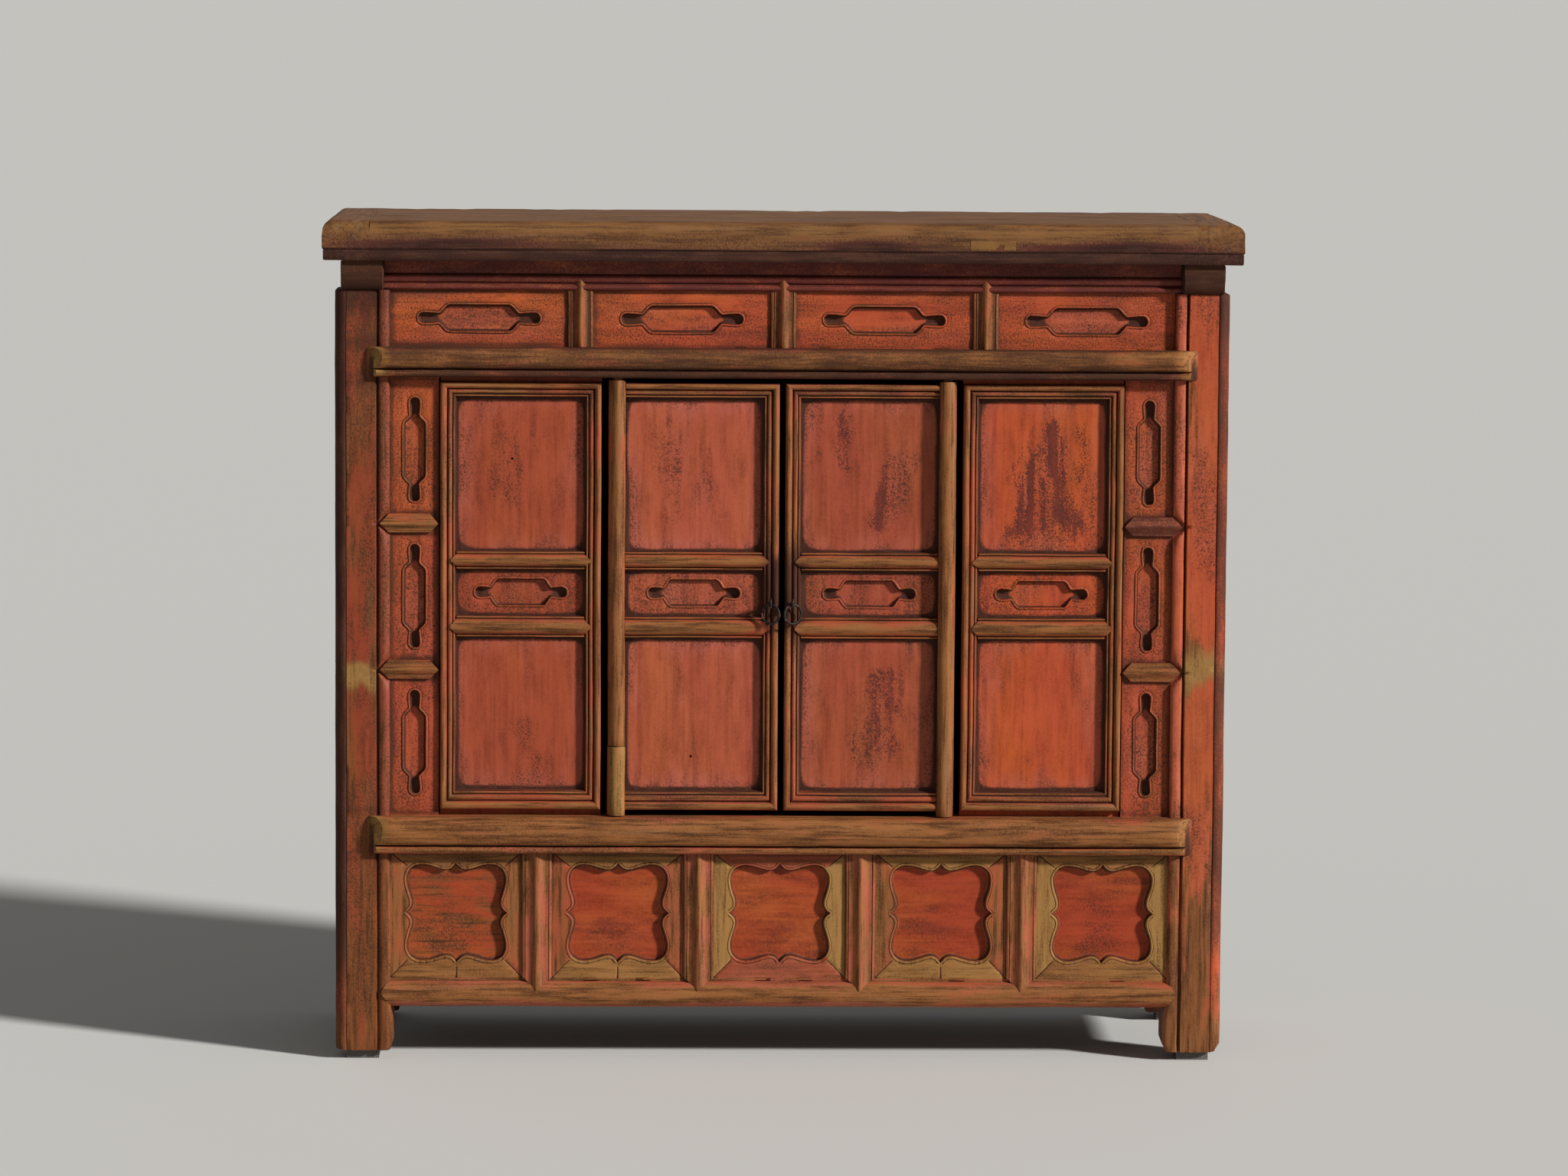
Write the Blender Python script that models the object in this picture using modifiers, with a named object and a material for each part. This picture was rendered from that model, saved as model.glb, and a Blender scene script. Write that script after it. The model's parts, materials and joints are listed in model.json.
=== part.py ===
"""Lacquered sideboard: two pivot-hung doors between two fixed leaves, frieze above and apron below.

Metres, +Z up, the front faces -Y, origin on the floor under the middle of the top.
Widths, heights and depths are stacks of named sizes, so that changing one moves its neighbours along.
"""

from math import cos, exp, pi, radians, sin

import bmesh
import bpy
from mathutils import Matrix, Vector

# Clearances
SEAT = 0.0003  # between a piece and the groove, mortise or face that holds it
PIVOT_PLAY = 0.0006  # between a door pivot and its socket
HOUSING = 0.004  # how far a panel's edge goes into its groove

# Stack of widths, from the middle to one side
MEETING_GAP = 0.008
DOOR_WIDTH = 0.223
LEAF_GAP = 0.009
LEAF_WIDTH = 0.210
COLUMN_GAP = 0.0016
COLUMN_WIDTH = 0.0634
POST_WIDTH = 0.072
TOP_SIDE_OVERHANG = 0.016

# Stack of heights, from the floor
PAD_HEIGHT = 0.012
FOOT_HEIGHT = 0.058
BOTTOM_RAIL_HEIGHT = 0.039
APRON_HEIGHT = 0.166
LOWER_RAIL_HEIGHT = 0.049
DOORWAY_HEIGHT = 0.576
UPPER_RAIL_HEIGHT = 0.039
FRIEZE_HEIGHT = 0.074
TOP_RAIL_HEIGHT = 0.039
TOP_THICKNESS = 0.052

# Stack of depths, from the front of the top
TOP_FRONT_OVERHANG = 0.024
POST_DEPTH = 0.068
SIDE_SPAN = 0.230
TOP_BACK_OVERHANG = 0.010

# Top
TOP_ROUND = 0.015
TOP_LIP_HEIGHT = 0.014
TOP_LIP_SETBACK = 0.002
BATTEN_WIDTH = 0.062
TONGUE_LENGTH = 0.010
TONGUE_THICKNESS = 0.016

# Posts, bearers and feet
POST_ROUND = 0.013
BEAD_WIDTH = 0.016
BEAD_DROP = 0.004
QUIRK_WIDTH = 0.003
BEARER_WIDTH = 0.056
BEARER_NOSE = 0.013
BEARER_NOSE_ROUND = 0.026
PEG_SIDE = 0.022
PEG_LENGTH = 0.014
PAD_WIDTH = 0.042

# Rails
TENON_LENGTH = 0.020
TENON_THICKNESS = 0.012
TENON_SHOULDER = 0.008
RAIL_DEPTH = 0.038
LOWER_RAIL_NOSE = 0.021
UPPER_RAIL_NOSE = 0.018
NOSE_ON_POST = 0.030
NOSE_END_CHAMFER = 0.020
NOSE_LIP_HEIGHT = 0.010
BOTTOM_RAIL_NOSE = 0.003
TOP_RAIL_SETBACK = 0.010
TOP_RAIL_BEAD = 0.020

# Ridge-section stiles and muntins
RIDGE_FLAT = 0.003
FRIEZE_STILE_WIDTH = 0.034
FRIEZE_STILE_DEPTH = 0.026
FRIEZE_POINT = 0.015
APRON_STILE_WIDTH = 0.040
APRON_STILE_DEPTH = 0.030
APRON_POINT = 0.016
MUNTIN_HEIGHT = 0.026
MUNTIN_THICKNESS = 0.0095
MUNTIN_POINT = 0.013
RIDGE_RISE = 0.007

# Carved panels
FRIEZE_PANEL_SETBACK = 0.011
FRIEZE_PANEL_THICKNESS = 0.012
COLUMN_PANEL_SETBACK = 0.009
COLUMN_PANEL_THICKNESS = 0.012
APRON_PANEL_SETBACK = 0.006
APRON_PANEL_THICKNESS = 0.017
FIELD_DEPTH = 0.006
FRIEZE_FIELD_LENGTH = 0.158
FRIEZE_FIELD_HEIGHT = 0.034
FRIEZE_FIELD_ARM = 0.013
COLUMN_FIELD_LENGTH = 0.134
COLUMN_FIELD_HEIGHT = 0.028
COLUMN_FIELD_ARM = 0.012
LEAF_FIELD_LENGTH = 0.120
LEAF_FIELD_HEIGHT = 0.034
LEAF_FIELD_ARM = 0.013
SCALLOP_SIDE_MARGIN = 0.021
SCALLOP_TOP_MARGIN = 0.016
SCALLOP_FOOT_MARGIN = 0.022
SCALLOP_CORNER = 0.020
SCALLOP_BUMP = 0.006
SCALLOP_CUSP = 0.009
SCALLOP_DEPTH = 0.009

# Doors and leaves
FRAME_FOOT_GAP = 0.008
FRAME_HEAD_GAP = 0.007
FRAME_THICKNESS = 0.014
FRAME_ROUND = 0.006
FRAME_STILE = 0.021
FRAME_TOP_RAIL = 0.020
FRAME_UPPER_MIDDLE_RAIL = 0.025
FRAME_LOWER_MIDDLE_RAIL = 0.029
FRAME_FOOT_RAIL = 0.026
FRAME_MIDDLE_FIELD = 0.060
BOARD_THICKNESS = 0.009
LEAF_SETBACK = 0.001
DOOR_PROUD = 0.002
PIVOT_STILE_WIDTH = 0.024
PIVOT_STILE_PROUD = 0.007
PIVOT_PIN_RADIUS = 0.0065
PIVOT_FOOT_PIN = 0.014
PIVOT_HEAD_PIN = 0.018
PIVOT_LIFT = 0.003

# Ring pulls
RING_RADIUS = 0.0125
RING_WIRE = 0.0018
EYE_RADIUS = 0.0055
EYE_WIRE = 0.0017
EYE_STANDOFF = 0.004
RING_PLAY = 0.0006  # between a ring and the eye that holds it
SHANK_LENGTH = 0.010
RING_DROP = 0.006  # the eye below the middle of the door
RING_TWIST = 28.0  # degrees

# Carcass behind the front
SIDE_PANEL_SETBACK = 0.014
SIDE_PANEL_THICKNESS = 0.012
BACK_PANEL_SETBACK = 0.014
BACK_PANEL_THICKNESS = 0.012
HIDDEN_RAIL_THICKNESS = 0.028
FLOOR_THICKNESS = 0.016
FLOOR_DROP = 0.006

# Planes and levels that follow from the stacks
door_in = MEETING_GAP / 2
door_out = door_in + DOOR_WIDTH
leaf_in = door_out + LEAF_GAP
leaf_out = leaf_in + LEAF_WIDTH
column_in = leaf_out + COLUMN_GAP
post_in = column_in + COLUMN_WIDTH
post_out = post_in + POST_WIDTH
top_out = post_out + TOP_SIDE_OVERHANG
post_mid = (post_in + post_out) / 2
front = -(TOP_FRONT_OVERHANG + POST_DEPTH * 2 + SIDE_SPAN + TOP_BACK_OVERHANG) / 2 + TOP_FRONT_OVERHANG
front_back = front + POST_DEPTH
rear_front = front_back + SIDE_SPAN
rear = rear_front + POST_DEPTH
bottom_rail_low = PAD_HEIGHT + FOOT_HEIGHT
bottom_rail_top = bottom_rail_low + BOTTOM_RAIL_HEIGHT
lower_rail_low = bottom_rail_top + APRON_HEIGHT
lower_rail_top = lower_rail_low + LOWER_RAIL_HEIGHT
upper_rail_low = lower_rail_top + DOORWAY_HEIGHT
upper_rail_top = upper_rail_low + UPPER_RAIL_HEIGHT
frieze_top = upper_rail_top + FRIEZE_HEIGHT
under_top = frieze_top + TOP_RAIL_HEIGHT
height = under_top + TOP_THICKNESS

for old in list(bpy.data.objects):
    bpy.data.objects.remove(old)
parts = bpy.data.collections.new("sideboard")
tools = bpy.data.collections.new("cutters")
bpy.context.scene.collection.children.link(parts)
bpy.context.scene.collection.children.link(tools)

finishes = {
    "lacquer": ((0.42, 0.09, 0.04, 1.0), 0.45, 0.0),
    "worn_frame": ((0.22, 0.10, 0.04, 1.0), 0.55, 0.0),
    "dark_wood": ((0.09, 0.045, 0.025, 1.0), 0.65, 0.0),
    "iron": ((0.05, 0.04, 0.035, 1.0), 0.6, 0.9),
    "pad": ((0.16, 0.15, 0.14, 1.0), 0.9, 0.0),
}
grooves = {}


def material_for(name, finish):
    colour, roughness, metallic = finishes[finish]
    material = bpy.data.materials.new(f"{name}_{finish}")
    material.use_nodes = True
    shader = material.node_tree.nodes["Principled BSDF"]
    shader.inputs["Base Color"].default_value = colour
    shader.inputs["Roughness"].default_value = roughness
    shader.inputs["Metallic"].default_value = metallic
    material.diffuse_color = colour
    return material


def as_part(obj, name, finish):
    """Makes an object one of the sideboard's nodes."""
    tools.objects.unlink(obj)
    parts.objects.link(obj)
    obj.name = name
    obj.data.name = name
    obj.hide_render = False
    obj.display_type = "TEXTURED"
    obj.data.materials.append(material_for(name, finish))
    return obj


def tool_from(shape, location):
    """A hidden helper object from a bmesh, which is freed."""
    mesh = bpy.data.meshes.new("tool")
    bmesh.ops.recalc_face_normals(shape, faces=shape.faces)
    shape.to_mesh(mesh)
    shape.free()
    obj = bpy.data.objects.new("tool", mesh)
    obj.location = location
    obj.hide_render = True
    obj.display_type = "WIRE"
    tools.objects.link(obj)
    return obj


def block(low, high):
    """A rectangular block between two corners."""
    low = Vector(low)
    high = Vector(high)
    shape = bmesh.new()
    bmesh.ops.create_cube(shape, size=1.0)
    bmesh.ops.scale(shape, vec=high - low, verts=shape.verts)
    return tool_from(shape, (low + high) / 2)


def rod(centre, axis, radius, length, sides=20):
    """A cylinder about its centre, along X, Y or Z."""
    turn = {"X": Matrix.Rotation(pi / 2, 4, "Y"), "Y": Matrix.Rotation(pi / 2, 4, "X"), "Z": Matrix()}[axis]
    shape = bmesh.new()
    bmesh.ops.create_cone(
        shape, cap_ends=True, segments=sides, radius1=radius, radius2=radius, depth=length, matrix=turn
    )
    return tool_from(shape, centre)


def prism(outlines, axis, start, end):
    """Extrudes closed outlines along an axis; an outline inside the first is a hole.

    Outline points are (x, y) along Z, (y, z) along X and (x, z) along Y.
    """
    curve = bpy.data.curves.new("outline", "CURVE")
    curve.dimensions = "2D"
    curve.fill_mode = "BOTH"
    curve.extrude = abs(end - start) / 2
    for outline in outlines:
        spline = curve.splines.new("POLY")
        spline.points.add(len(outline) - 1)
        spline.use_cyclic_u = True
        for point, (u, v) in zip(spline.points, outline):
            point.co = (u, v, 0.0, 1.0)
    holder = bpy.data.objects.new("outline", curve)
    tools.objects.link(holder)
    bpy.context.view_layer.update()
    mesh = bpy.data.meshes.new_from_object(holder.evaluated_get(bpy.context.evaluated_depsgraph_get()))
    bpy.data.objects.remove(holder)
    bpy.data.curves.remove(curve)
    turn = {
        "X": Matrix(((0, 0, 1, 0), (1, 0, 0, 0), (0, 1, 0, 0), (0, 0, 0, 1))),
        "Y": Matrix(((1, 0, 0, 0), (0, 0, -1, 0), (0, 1, 0, 0), (0, 0, 0, 1))),
        "Z": Matrix(),
    }[axis]
    shape = bmesh.new()
    shape.from_mesh(mesh)
    bpy.data.meshes.remove(mesh)
    bmesh.ops.remove_doubles(shape, verts=shape.verts, dist=1e-6)
    bmesh.ops.transform(shape, matrix=turn, verts=shape.verts)
    middle = {"X": Vector((1, 0, 0)), "Y": Vector((0, 1, 0)), "Z": Vector((0, 0, 1))}[axis]
    return tool_from(shape, middle * (start + end) / 2)


def wire_ring(radius, wire, sides, turn):
    """A torus of round wire, turned about its centre."""
    bpy.ops.mesh.primitive_torus_add(
        major_segments=sides, minor_segments=8, major_radius=radius, minor_radius=wire
    )
    ring = bpy.context.object
    for collection in list(ring.users_collection):
        collection.objects.unlink(ring)
    tools.objects.link(ring)
    ring.data.transform(turn)
    return ring


def combine(obj, operation, others):
    for other in others:
        modifier = obj.modifiers.new(operation.lower(), "BOOLEAN")
        modifier.operation = operation
        modifier.solver = "EXACT"
        modifier.object = other
    return obj


def groove(low, high, *holders):
    """Notes that each holder is cut by this box, grown by the seat clearance."""
    start = [min(a, b) - SEAT for a, b in zip(low, high)]
    end = [max(a, b) + SEAT for a, b in zip(low, high)]
    for holder in holders:
        grooves.setdefault(holder.name, []).append((start, end))


def cut_grooves():
    for name, boxes in grooves.items():
        combine(bpy.data.objects[name], "DIFFERENCE", [block(low, high) for low, high in boxes])


def arc(centre_u, centre_v, radius_u, radius_v, start, end, steps):
    """Points of an elliptical arc, in degrees."""
    turns = [radians(start + (end - start) * i / steps) for i in range(steps + 1)]
    return [(centre_u + radius_u * cos(t), centre_v + radius_v * sin(t)) for t in turns]


def rectangle(u0, v0, u1, v1):
    return [(u0, v0), (u1, v0), (u1, v1), (u0, v1)]


def moved(outline, du, dv):
    return [(u + du, v + dv) for u, v in outline]


def turned(outline):
    """A quarter turn of an outline."""
    return [(-v, u) for u, v in outline]


def mirrored(outline, side):
    return [(side * u, v) for u, v in outline]


def field_outline(length, tall, arm):
    """The carved field: a long body with sloped shoulders and a narrow round-ended arm at each end."""
    body = length * 0.27
    shoulder = length * 0.35
    quarter = [(body, tall / 2), (shoulder, arm * 0.72)]
    end = arc(length / 2 - arm / 2, 0, arm / 2, arm / 2, 90, -90, 6)
    right = quarter + [(shoulder + arm * 0.3, arm * 0.55)] + end
    right += [(shoulder + arm * 0.3, -arm * 0.55)] + [(u, -v) for u, v in reversed(quarter)]
    return right + [(-u, -v) for u, v in right]


def scalloped_outline(half_width, half_height):
    """The apron opening: round corners, and on each side two soft bumps that part at a pointed cusp."""
    outline = []
    for turn, reach, span in (
        (0, half_width, half_height),
        (1, half_height, half_width),
        (2, half_width, half_height),
        (3, half_height, half_width),
    ):
        side = []
        straight = span - SCALLOP_CORNER
        for i in range(13):
            t = -1 + 2 * i / 12
            bump = SCALLOP_BUMP * sin(pi * abs(t)) ** 0.8
            cusp = SCALLOP_CUSP * exp(-abs(t) * 7.0)
            side.append((reach - SCALLOP_CUSP - bump + cusp, straight * t))
        inner = reach - SCALLOP_CUSP
        side += arc(inner - SCALLOP_CORNER, straight, SCALLOP_CORNER, SCALLOP_CORNER, 15, 75, 4)
        for _ in range(turn):
            side = turned(side)
        outline += side
    return outline


def ridge_section(low, high, shoulder, ridge, back):
    """Section of a ridge-faced bar, as points across it and in depth."""
    mid = (low + high) / 2
    return [
        (low, back),
        (low, shoulder),
        (mid - RIDGE_FLAT / 2, ridge),
        (mid + RIDGE_FLAT / 2, ridge),
        (high, shoulder),
        (high, back),
    ]


def nosed_rail(name, low, high, nose):
    """A rail that laps over the posts with a half-round nose and is tenoned between them."""
    lip = nose * 0.62
    middle = (low + NOSE_LIP_HEIGHT + high) / 2
    half = (high - low - NOSE_LIP_HEIGHT) / 2
    section = [(front - SEAT, low), (front - lip, low), (front - lip, low + NOSE_LIP_HEIGHT)]
    section += arc(front - nose * 0.25, middle, nose * 0.75, half, 270, 90, 10)
    section += [(front - SEAT, high)]
    reach = post_in + NOSE_ON_POST
    rail = prism([section], "X", -reach - NOSE_END_CHAMFER, reach + NOSE_END_CHAMFER)
    wide = reach + NOSE_END_CHAMFER
    short = reach - NOSE_END_CHAMFER * 2
    plan = [(-wide, front + nose), (-short, front - nose * 2), (short, front - nose * 2), (wide, front + nose)]
    combine(rail, "INTERSECT", [prism([plan], "Z", low - nose, high + nose)])
    edge = post_in - SEAT
    body = block((-edge, front - nose * 0.15, low), (edge, front + RAIL_DEPTH, high))
    tenons = tenon_pair(low, high, front + RAIL_DEPTH * 0.6, posts_front)
    combine(rail, "UNION", [body] + tenons)
    return as_part(rail, name, "worn_frame")


def tenon_pair(low, high, middle, posts):
    """Tenons at both ends of a rail along X, and the mortises for them."""
    found = []
    for side, post in zip((-1, 1), posts):
        inner = side * (post_in - TENON_LENGTH / 2)
        outer = side * (post_in + TENON_LENGTH)
        y0 = middle - TENON_THICKNESS / 2
        y1 = middle + TENON_THICKNESS / 2
        z0 = low + TENON_SHOULDER
        z1 = high - TENON_SHOULDER
        found.append(block((min(inner, outer), y0, z0), (max(inner, outer), y1, z1)))
        groove((side * post_in, y0, z0), (outer, y1, z1), post)
    return found


# Posts
peg_low = frieze_top - SEAT
posts_front = []
posts_back = []
for side, word in ((-1, "left"), (1, "right")):
    bead = [(post_in + BEAD_WIDTH * i / 6, front + BEAD_DROP * (1 - sin(pi * i / 6))) for i in range(7)]
    section = [(post_in, front_back)] + bead + [(post_in + BEAD_WIDTH + QUIRK_WIDTH, front)]
    section += arc(post_out - POST_ROUND, front + POST_ROUND, POST_ROUND, POST_ROUND, 270, 360, 5)
    section += [(post_out, front_back)]
    post = prism([mirrored(section, side)], "Z", PAD_HEIGHT + SEAT, peg_low)
    posts_front.append(as_part(post, f"post_front_{word}", "worn_frame"))
    low = (min(side * post_in, side * post_out), rear_front, PAD_HEIGHT + SEAT)
    high = (max(side * post_in, side * post_out), rear, peg_low)
    posts_back.append(as_part(block(low, high), f"post_back_{word}", "dark_wood"))

# Foot pads
for side, word in ((-1, "left"), (1, "right")):
    for y0, row in ((front, "front"), (rear_front, "back")):
        middle = Vector((side * post_mid, y0 + POST_DEPTH / 2, PAD_HEIGHT / 2))
        half = Vector((PAD_WIDTH / 2, PAD_WIDTH / 2, PAD_HEIGHT / 2))
        as_part(block(middle - half, middle + half), f"foot_pad_{row}_{word}", "pad")

# Top bearers on the posts, each with a rounded nose at the front
bearers = []
for side, word in ((-1, "left"), (1, "right")):
    nose = front - BEARER_NOSE
    section = [(rear, frieze_top), (front, frieze_top)]
    section += arc(front, frieze_top + BEARER_NOSE_ROUND, BEARER_NOSE, BEARER_NOSE_ROUND, 270, 180, 6)
    section += [(nose, under_top - SEAT), (rear, under_top - SEAT)]
    inner = side * (post_mid - BEARER_WIDTH / 2)
    outer = side * (post_mid + BEARER_WIDTH / 2)
    bearer = prism([section], "X", min(inner, outer), max(inner, outer))
    as_part(bearer, f"top_bearer_{word}", "worn_frame")
    bearers.append(bearer)
    for post, y0 in zip((posts_front, posts_back), (front, rear_front)):
        middle = Vector((side * post_mid, y0 + POST_DEPTH / 2, peg_low))
        low = middle - Vector((PEG_SIDE / 2, PEG_SIDE / 2, PEG_LENGTH))
        high = middle + Vector((PEG_SIDE / 2, PEG_SIDE / 2, PEG_LENGTH))
        combine(post[0] if side < 0 else post[1], "UNION", [block(low, high)])
        groove(low, high, bearer)

# Top: a plank field tongued into two end battens
top_front = front - TOP_FRONT_OVERHANG
top_back = rear + TOP_BACK_OVERHANG
field = top_out - BATTEN_WIDTH


def edge_section(out, back):
    """Moulded edge of the top: rounded above, a set-back lip below. Negative out is the front or left."""
    way = -1 if out < 0 else 1
    middle = out - way * TOP_ROUND
    section = [(out - way * TOP_LIP_SETBACK, under_top), (out - way * TOP_LIP_SETBACK, under_top + TOP_LIP_HEIGHT)]
    section += [(out, under_top + TOP_LIP_HEIGHT + TOP_LIP_SETBACK)]
    start = 180 if way < 0 else 0
    section += arc(middle, height - TOP_ROUND, TOP_ROUND, TOP_ROUND, start, 90, 5)
    return section + [(back, height), (back, under_top)]


tongue_mid = under_top + TOP_THICKNESS * 0.5
top = prism([edge_section(top_front, top_back)], "X", -field + SEAT, field - SEAT)
for side in (-1, 1):
    inner = side * (field - TONGUE_LENGTH)
    outer = side * (field + TONGUE_LENGTH)
    y0 = top_front + TOP_ROUND * 2
    z0 = tongue_mid - TONGUE_THICKNESS / 2
    z1 = tongue_mid + TONGUE_THICKNESS / 2
    tongue = block((min(inner, outer), y0, z0), (max(inner, outer), top_back - TOP_ROUND, z1))
    combine(top, "UNION", [tongue])
as_part(top, "top_board", "worn_frame")
for side, word in ((-1, "left"), (1, "right")):
    batten = prism([edge_section(side * top_out, side * (field + SEAT))], "Y", top_front, top_back)
    reach = top_out + TOP_ROUND
    front_face = prism([edge_section(top_front, top_back)], "X", -reach, reach)
    combine(batten, "INTERSECT", [front_face])
    as_part(batten, f"top_end_batten_{word}", "worn_frame")
    low = (side * field, top_front + TOP_ROUND * 2, tongue_mid - TONGUE_THICKNESS / 2)
    high = (side * (field + TONGUE_LENGTH), top_back - TOP_ROUND, tongue_mid + TONGUE_THICKNESS / 2)
    groove(low, high, batten)

# Front rails
upper_rail = nosed_rail("upper_rail", upper_rail_low, upper_rail_top, UPPER_RAIL_NOSE)
lower_rail = nosed_rail("lower_rail", lower_rail_low, lower_rail_top, LOWER_RAIL_NOSE)

middle = (bottom_rail_low + bottom_rail_top) / 2
half = BOTTOM_RAIL_HEIGHT / 2
section = [(front + RAIL_DEPTH, bottom_rail_low)]
section += arc(front + half * 0.5, middle, half * 0.5 + BOTTOM_RAIL_NOSE, half, 270, 90, 8)
section += [(front + RAIL_DEPTH, bottom_rail_top)]
bottom_rail = prism([section], "X", -(post_in - SEAT), post_in - SEAT)
combine(bottom_rail, "UNION", tenon_pair(bottom_rail_low, bottom_rail_top, front + RAIL_DEPTH * 0.6, posts_front))
as_part(bottom_rail, "bottom_rail", "worn_frame")

top_rail_front = front + TOP_RAIL_SETBACK
bead_top = frieze_top + TOP_RAIL_BEAD
section = [(front + RAIL_DEPTH, frieze_top), (top_rail_front - RIDGE_RISE + 0.004, frieze_top)]
section += [(top_rail_front - RIDGE_RISE, frieze_top + TOP_RAIL_BEAD * 0.4)]
section += [(top_rail_front - RIDGE_RISE, frieze_top + TOP_RAIL_BEAD * 0.7), (top_rail_front, bead_top)]
section += [(top_rail_front, under_top - SEAT), (front + RAIL_DEPTH, under_top - SEAT)]
rail_end = post_mid - BEARER_WIDTH / 2 - SEAT
top_rail = prism([section], "X", -rail_end, rail_end)
for side, bearer in zip((-1, 1), bearers):
    inner = side * (rail_end - TENON_LENGTH / 2)
    outer = side * (rail_end + TENON_LENGTH * 0.6)
    low = (min(inner, outer), front + RAIL_DEPTH * 0.6, frieze_top + TENON_SHOULDER)
    high = (max(inner, outer), front + RAIL_DEPTH * 0.6 + TENON_THICKNESS, under_top - TENON_SHOULDER)
    combine(top_rail, "UNION", [block(low, high)])
    groove(low, high, bearer)
as_part(top_rail, "front_top_rail", "worn_frame")


def pointed_stile(centre, width, flat_end, shoulder_end, point, section, depth):
    """A ridge-faced upright, square at one end, whose point at the other laps over a rail."""
    way = 1 if shoulder_end > flat_end else -1
    half = width * 0.75
    drop = shoulder_end - way * point * 0.5
    outline = [(centre - half, flat_end - way * width), (centre - half, drop), (centre, shoulder_end + way * point)]
    outline += [(centre + half, drop), (centre + half, flat_end - way * width)]
    ends = sorted((flat_end, shoulder_end + way * (point + width)))
    bar = prism([section], "Z", *ends)
    return combine(bar, "INTERSECT", [prism([outline], "Y", front - depth, front + depth)])


def point_cutter(centre, width, level, point):
    """The notch in a rail for a stile's point, open to the front."""
    half = width / 2 + SEAT * 2
    reach = point + SEAT * 3 if point > 0 else point - SEAT * 3
    start = level - reach * 0.2
    outline = [(centre - half, start), (centre + half, start), (centre + half, level), (centre, level + reach)]
    return outline + [(centre - half, level)]


# Frieze: three stiles and four carved panels
frieze_pitch = (2 * post_in + FRIEZE_STILE_WIDTH) / 4
frieze_stiles = []
panel_front = front + FRIEZE_PANEL_SETBACK
for i in range(3):
    centre = (i - 1) * frieze_pitch
    low = centre - FRIEZE_STILE_WIDTH / 2
    high = centre + FRIEZE_STILE_WIDTH / 2
    shoulder = panel_front - 0.003
    back = front + FRIEZE_STILE_DEPTH + FRIEZE_PANEL_SETBACK * 0.3
    section = ridge_section(low, high, shoulder, shoulder - RIDGE_RISE, back)
    z0 = upper_rail_top + SEAT
    z1 = frieze_top - SEAT
    stile = pointed_stile(centre, FRIEZE_STILE_WIDTH, z0, z1, FRIEZE_POINT, section, FRIEZE_STILE_DEPTH * 2)
    frieze_stiles.append(as_part(stile, f"frieze_stile_{i + 1}", "worn_frame"))
    notch = point_cutter(centre, FRIEZE_STILE_WIDTH, frieze_top, FRIEZE_POINT)
    combine(top_rail, "DIFFERENCE", [prism([notch], "Y", front - RAIL_DEPTH, back + SEAT)])

for i in range(4):
    centre = (i - 1.5) * frieze_pitch
    half = (frieze_pitch - FRIEZE_STILE_WIDTH) / 2
    low = (centre - half - HOUSING, panel_front, upper_rail_top - HOUSING)
    high = (centre + half + HOUSING, panel_front + FRIEZE_PANEL_THICKNESS, frieze_top + HOUSING)
    panel = block(low, high)
    outline = field_outline(FRIEZE_FIELD_LENGTH, FRIEZE_FIELD_HEIGHT, FRIEZE_FIELD_ARM)
    outline = moved(outline, centre, (upper_rail_top + frieze_top) / 2)
    combine(panel, "DIFFERENCE", [prism([outline], "Y", panel_front - FIELD_DEPTH, panel_front + FIELD_DEPTH)])
    as_part(panel, f"frieze_panel_{i + 1}", "lacquer")
    left = frieze_stiles[i - 1] if i else posts_front[0]
    right = frieze_stiles[i] if i < 3 else posts_front[1]
    groove(low, high, upper_rail, top_rail, left, right)

# Apron: four stiles and five scalloped panels
apron_pitch = (2 * post_in + APRON_STILE_WIDTH) / 5
apron_stiles = []
panel_front = front + APRON_PANEL_SETBACK
for i in range(4):
    centre = (i - 1.5) * apron_pitch
    low = centre - APRON_STILE_WIDTH / 2
    high = centre + APRON_STILE_WIDTH / 2
    shoulder = panel_front - 0.003
    back = front + APRON_STILE_DEPTH
    section = ridge_section(low, high, shoulder, shoulder - RIDGE_RISE, back)
    z0 = bottom_rail_top + SEAT
    z1 = lower_rail_low - SEAT
    stile = pointed_stile(centre, APRON_STILE_WIDTH, z1, z0, APRON_POINT, section, APRON_STILE_DEPTH * 2)
    apron_stiles.append(as_part(stile, f"apron_stile_{i + 1}", "worn_frame"))
    notch = point_cutter(centre, APRON_STILE_WIDTH, bottom_rail_top, -APRON_POINT)
    combine(bottom_rail, "DIFFERENCE", [prism([notch], "Y", front - RAIL_DEPTH, back + SEAT)])

for i in range(5):
    centre = (i - 2) * apron_pitch
    half = (apron_pitch - APRON_STILE_WIDTH) / 2
    low = (centre - half - HOUSING, panel_front, bottom_rail_top - HOUSING)
    high = (centre + half + HOUSING, panel_front + APRON_PANEL_THICKNESS, lower_rail_low + HOUSING)
    panel = block(low, high)
    opening_low = bottom_rail_top + SCALLOP_FOOT_MARGIN
    opening_high = lower_rail_low - SCALLOP_TOP_MARGIN
    outline = scalloped_outline(half - SCALLOP_SIDE_MARGIN + SCALLOP_CUSP, (opening_high - opening_low) / 2 + SCALLOP_CUSP)
    outline = moved(outline, centre, (opening_low + opening_high) / 2)
    combine(panel, "DIFFERENCE", [prism([outline], "Y", panel_front - SCALLOP_DEPTH, panel_front + SCALLOP_DEPTH)])
    as_part(panel, f"apron_panel_{i + 1}", "lacquer")
    left = apron_stiles[i - 1] if i else posts_front[0]
    right = apron_stiles[i] if i < 4 else posts_front[1]
    groove(low, high, lower_rail, bottom_rail, left, right)

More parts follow.
